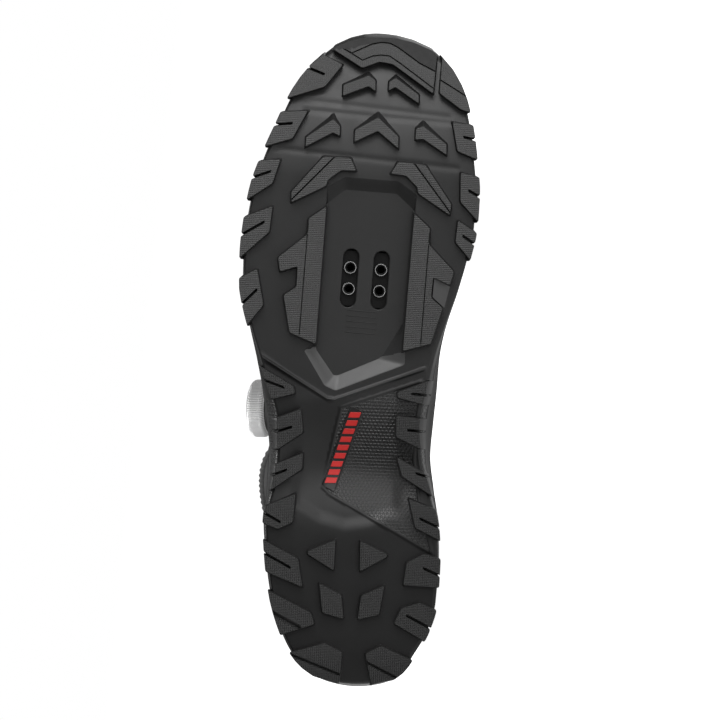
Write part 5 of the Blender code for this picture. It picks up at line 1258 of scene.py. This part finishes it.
# Lace: a round braided cord from the dial over the tongue and through the guides, on the CAD's route. It is
# drawn tight by the dial and ends in the lowest guide.
ROUTE = np.array([
    (199.1, 17.7, 71.5), (198.5, 14.5, 72.6), (197.9, 11.2, 73.4), (197.3, 7.5, 74.0), (196.6, 2.5, 74.4),
    (196.0, -3.8, 74.5), (195.4, -9.0, 74.4), (194.7, -13.7, 74.1), (194.0, -18.0, 73.5),
    (193.3, -22.2, 72.6), (191.4, -23.4, 72.9), (189.5, -23.3, 73.7), (187.6, -21.9, 74.8),
    (186.8, -17.0, 76.5), (186.1, -11.9, 77.8), (185.3, -6.4, 78.8), (184.5, -0.3, 79.5),
    (183.7, 5.8, 79.8), (182.9, 9.5, 79.7), (182.0, 12.9, 79.3), (181.1, 16.0, 78.5), (180.2, 18.9, 77.4),
    (178.3, 19.5, 77.6), (176.3, 19.2, 78.4), (174.5, 18.0, 79.8), (173.8, 14.8, 81.8), (173.1, 11.4, 83.5),
    (172.4, 7.9, 84.7), (171.7, 4.0, 85.4), (170.9, -2.3, 85.7), (170.1, -8.0, 85.6), (169.2, -13.4, 85.0),
    (168.4, -18.4, 83.9), (167.5, -23.1, 82.4), (165.6, -24.1, 82.7), (163.7, -23.9, 83.7),
    (161.8, -22.5, 85.4), (160.9, -17.2, 88.2), (160.1, -11.7, 90.4), (159.2, -5.9, 92.0),
    (158.2, 0.2, 93.1), (157.3, 5.2, 93.6), (156.2, 8.7, 93.4), (155.2, 11.9, 92.6), (154.1, 15.0, 91.0),
    (153.0, 17.8, 88.9), (151.0, 18.3, 89.2), (149.1, 18.2, 90.3), (147.2, 17.4, 92.2), (144.8, 12.6, 98.2),
    (142.4, 7.2, 102.5), (139.8, 0.7, 105.0), (137.1, -8.1, 105.5), (134.4, -16.0, 104.0),
    (131.6, -23.1, 100.4), (128.7, -29.3, 94.7), (125.9, -34.6, 87.3), (129.6, -40.4, 73.7),
])
CORD_RADIUS = 0.7
braid = surface("lace_braid", 0.012, 0.03, 0.45, 0.08, 900.0, 0.45)
tree = braid.node_tree
x, y = plan_axes(tree)
add_bump(braid, value(tree, "MULTIPLY", wave(tree, x, y, 1.1, 45), wave(tree, x, y, 1.1, -45)), 0.8, 0.2)
# a smooth cubic through the route's points, 400 steps long
fine = np.linspace(0, len(ROUTE) - 1, 400)
index = np.clip(fine.astype(int), 0, len(ROUTE) - 2)
share = (fine - index)[:, None]
before, a, b, after = (ROUTE[np.clip(index + step, 0, len(ROUTE) - 1)] for step in (-1, 0, 1, 2))
line = 0.5 * (2 * a + (b - before) * share + (2 * before - 5 * a + 4 * b - after) * share**2
              + (3 * a - before - 3 * b + after) * share**3)
ahead = np.gradient(line, axis=0)
ahead /= np.linalg.norm(ahead, axis=1, keepdims=True)
across = np.cross(ahead, (1.0, 0.0, 0.15))
across /= np.linalg.norm(across, axis=1, keepdims=True)
other = np.cross(ahead, across)
angle = np.linspace(0, 2 * math.pi, 13)[:, None]
rings = line[:, None] + CORD_RADIUS * (np.cos(angle) * across[:, None] + np.sin(angle) * other[:, None])
run = np.concatenate([[0], np.cumsum(np.linalg.norm(np.diff(line, axis=0), axis=1))])
lace_map = np.stack(np.broadcast_arrays(run[:, None], angle.T * CORD_RADIUS), axis=-1).reshape(-1, 2)
make("lace_cord", loft(rings, closed=False), braid, ["lace"], uv=lace_map)

# Lace guides: low rounded mouldings of black nylon, sewn in under the eyestays' edge. Each is waisted on the
# side where the lace turns through it.
GUIDES = (("medial", 68.5, 82.069), ("lateral", 64.5, 76.9), ("medial", 60.0, 76.115),
          ("lateral", 55.5, 73.724), ("medial", 50.5, 71.279))  # side, station and turn
GUIDE_EDGE = [(5.5, -1.9), (5.5, 3.75), (-5.5, 3.75), (-5.5, -1.9), (-2.75, -3.75), (2.75, -3.75)]
for number, (side, at, turn) in enumerate(GUIDES, 1):
    where = frame_on_skin(side, at, turn - 3)
    rings = []
    for height, draw in ((-2.0, 0.0), (1.0, 0.0), (2.6, 0.1), (3.3, 0.45), (3.75, 0.95), (4.0, 1.7)):
        a, b = 5.5 - draw, 3.75 - draw
        loop = [(a, -b * 0.5), (a, b), (-a, b), (-a, -b * 0.5), (-a * 0.5, -b), (a * 0.5, -b)]
        rings.append(placed(at_height(rounded(loop, 1.1, 1.2, GUIDE_EDGE), height), where))
    points, faces = loft(rings)
    top = np.arange(len(points) - len(rings[0]), len(points))[None, :]
    name = "guide_%d" % number
    make(name, (points, faces + [top]), black_nylon, ["lace_" + name], sharp=50)

# Red accent: a row of plain slanted bars of red rubber on a dark glossy strip with a thin raised rim. They
# are moulded into the waist panel.
red = surface("accent_red", (0.44, 0.010, 0.010), (0.53, 0.018, 0.015), 0.42, 0.05, 80.0, 0.4)
strip_black = surface("accent_strip", 0.004, 0.007, 0.35, 0.05, 80.0, 0.4)
ACCENT_START, ACCENT_END = np.array((125.0, -4.1)), np.array((89.6, -15.4))
BARS = 9
length = np.linalg.norm(ACCENT_END - ACCENT_START)
down_strip = (ACCENT_END - ACCENT_START) / length
over_strip = np.array((-down_strip[1], down_strip[0]))


def on_strip(corners):
    """Plan points from millimetres along and across the strip."""
    return [ACCENT_START + down_strip * a + over_strip * b for a, b in corners]


def raised_plate(corners, radius, levels, spacing=0.8):
    """A low plate that follows the tread floor: (inset, lift) rings and its top face."""
    loops = [rounded(mitred(corners, inset), radius, spacing, corners) for inset, _ in levels]
    plan, triangles = flat_mesh([loops[-1]], (), 1.0, margin=0.3)
    *rings, top = (np.column_stack([xy, base_height(xy[:, 0], xy[:, 1]) - lift])
                   for xy, lift in zip(loops + [plan], [lift for _, lift in levels] + [levels[-1][1]]))
    return join([loft(rings), (top, [triangles])])


strip = on_strip([(-1.2, 3.3), (length + 0.4, 3.3), (length + 1.2, -3.3), (-0.4, -3.3)])
strip = raised_plate(strip, 1.6, ((-0.1, -0.4), (0.0, 0.35), (0.25, 0.45), (0.45, 0.3)))
make("accent_strip", strip, strip_black, ["outsole"], sharp=40)
bars = []
pitch = (length - 1.6) / BARS
for k in range(BARS):
    a = 0.9 + k * pitch
    b = a + pitch * 0.66
    quad = on_strip([(a + 0.8, 2.35), (b + 0.8, 2.35), (b - 0.8, -2.35), (a - 0.8, -2.35)])
    bars.append(raised_plate(quad, 0.3, ((-0.05, 0.0), (0.0, 0.6), (0.12, 0.7)), 0.5))
make("accent_bars", join(bars), red, ["outsole"], sharp=40)

# Studio: a plain white floor that glows a little and so lights the shoe's lower side, a white world, and four
# soft lamps, the strongest beyond the toe.
floor_white = surface("floor_white", 0.85, 0.9, 0.9, 0.02, 3.0, 0.1)
tree = floor_white.node_tree
shader = tree.nodes["Principled BSDF"]
shader.inputs["Emission Color"].default_value = (1, 1, 1, 1)
seen = node(tree, "ShaderNodeLightPath").outputs["Is Camera Ray"]
tree.links.new(value(tree, "MULTIPLY_ADD", seen, 0.5, 0.5), shader.inputs["Emission Strength"])
data = bpy.data.meshes.new("floor")
data.from_pydata([(-9, -9, 0), (9, -9, 0), (9, 9, 0), (-9, 9, 0)], [], [(0, 1, 2, 3)])
data.materials.append(floor_white)
floor = bpy.data.objects.new("floor", data)
bpy.context.scene.collection.objects.link(floor)
world = bpy.data.worlds.new("studio")
bpy.context.scene.world = world
world.use_nodes = True
tree = world.node_tree
seen = node(tree, "ShaderNodeLightPath").outputs["Is Camera Ray"]
tree.nodes["Background"].inputs[0].default_value = (1, 1, 1, 1)
tree.links.new(value(tree, "MULTIPLY_ADD", seen, 0.91, 0.09), tree.nodes["Background"].inputs[1])
bpy.context.scene.view_settings.view_transform = "Standard"
LAMPS = (
    # name, place in the shoe's axes from the middle of the shoe (m), size (m), watts
    ("toe_light", (1.05, -0.05, -0.7), 0.75, 10.8),
    ("front_light", (0.65, -0.15, -1.2), 0.9, 5.0),
    ("side_light", (-0.5, -1.2, -0.3), 0.7, 5.0),
    ("upper_light", (0.2, -1.25, 0.6), 0.7, 8.0),
)
middle_of_shoe = Vector((0.15, 0.0, 0.02))
for name, place, size, watts in LAMPS:
    light = bpy.data.lights.new(name, "AREA")
    light.energy = watts
    light.size = size
    lamp = bpy.data.objects.new(name, light)
    bpy.context.scene.collection.objects.link(lamp)
    lamp.location = ORIGIN + AXES @ (middle_of_shoe + Vector(place))
    lamp.rotation_euler = (AXES @ (-Vector(place))).to_track_quat("-Z", "Y").to_euler()
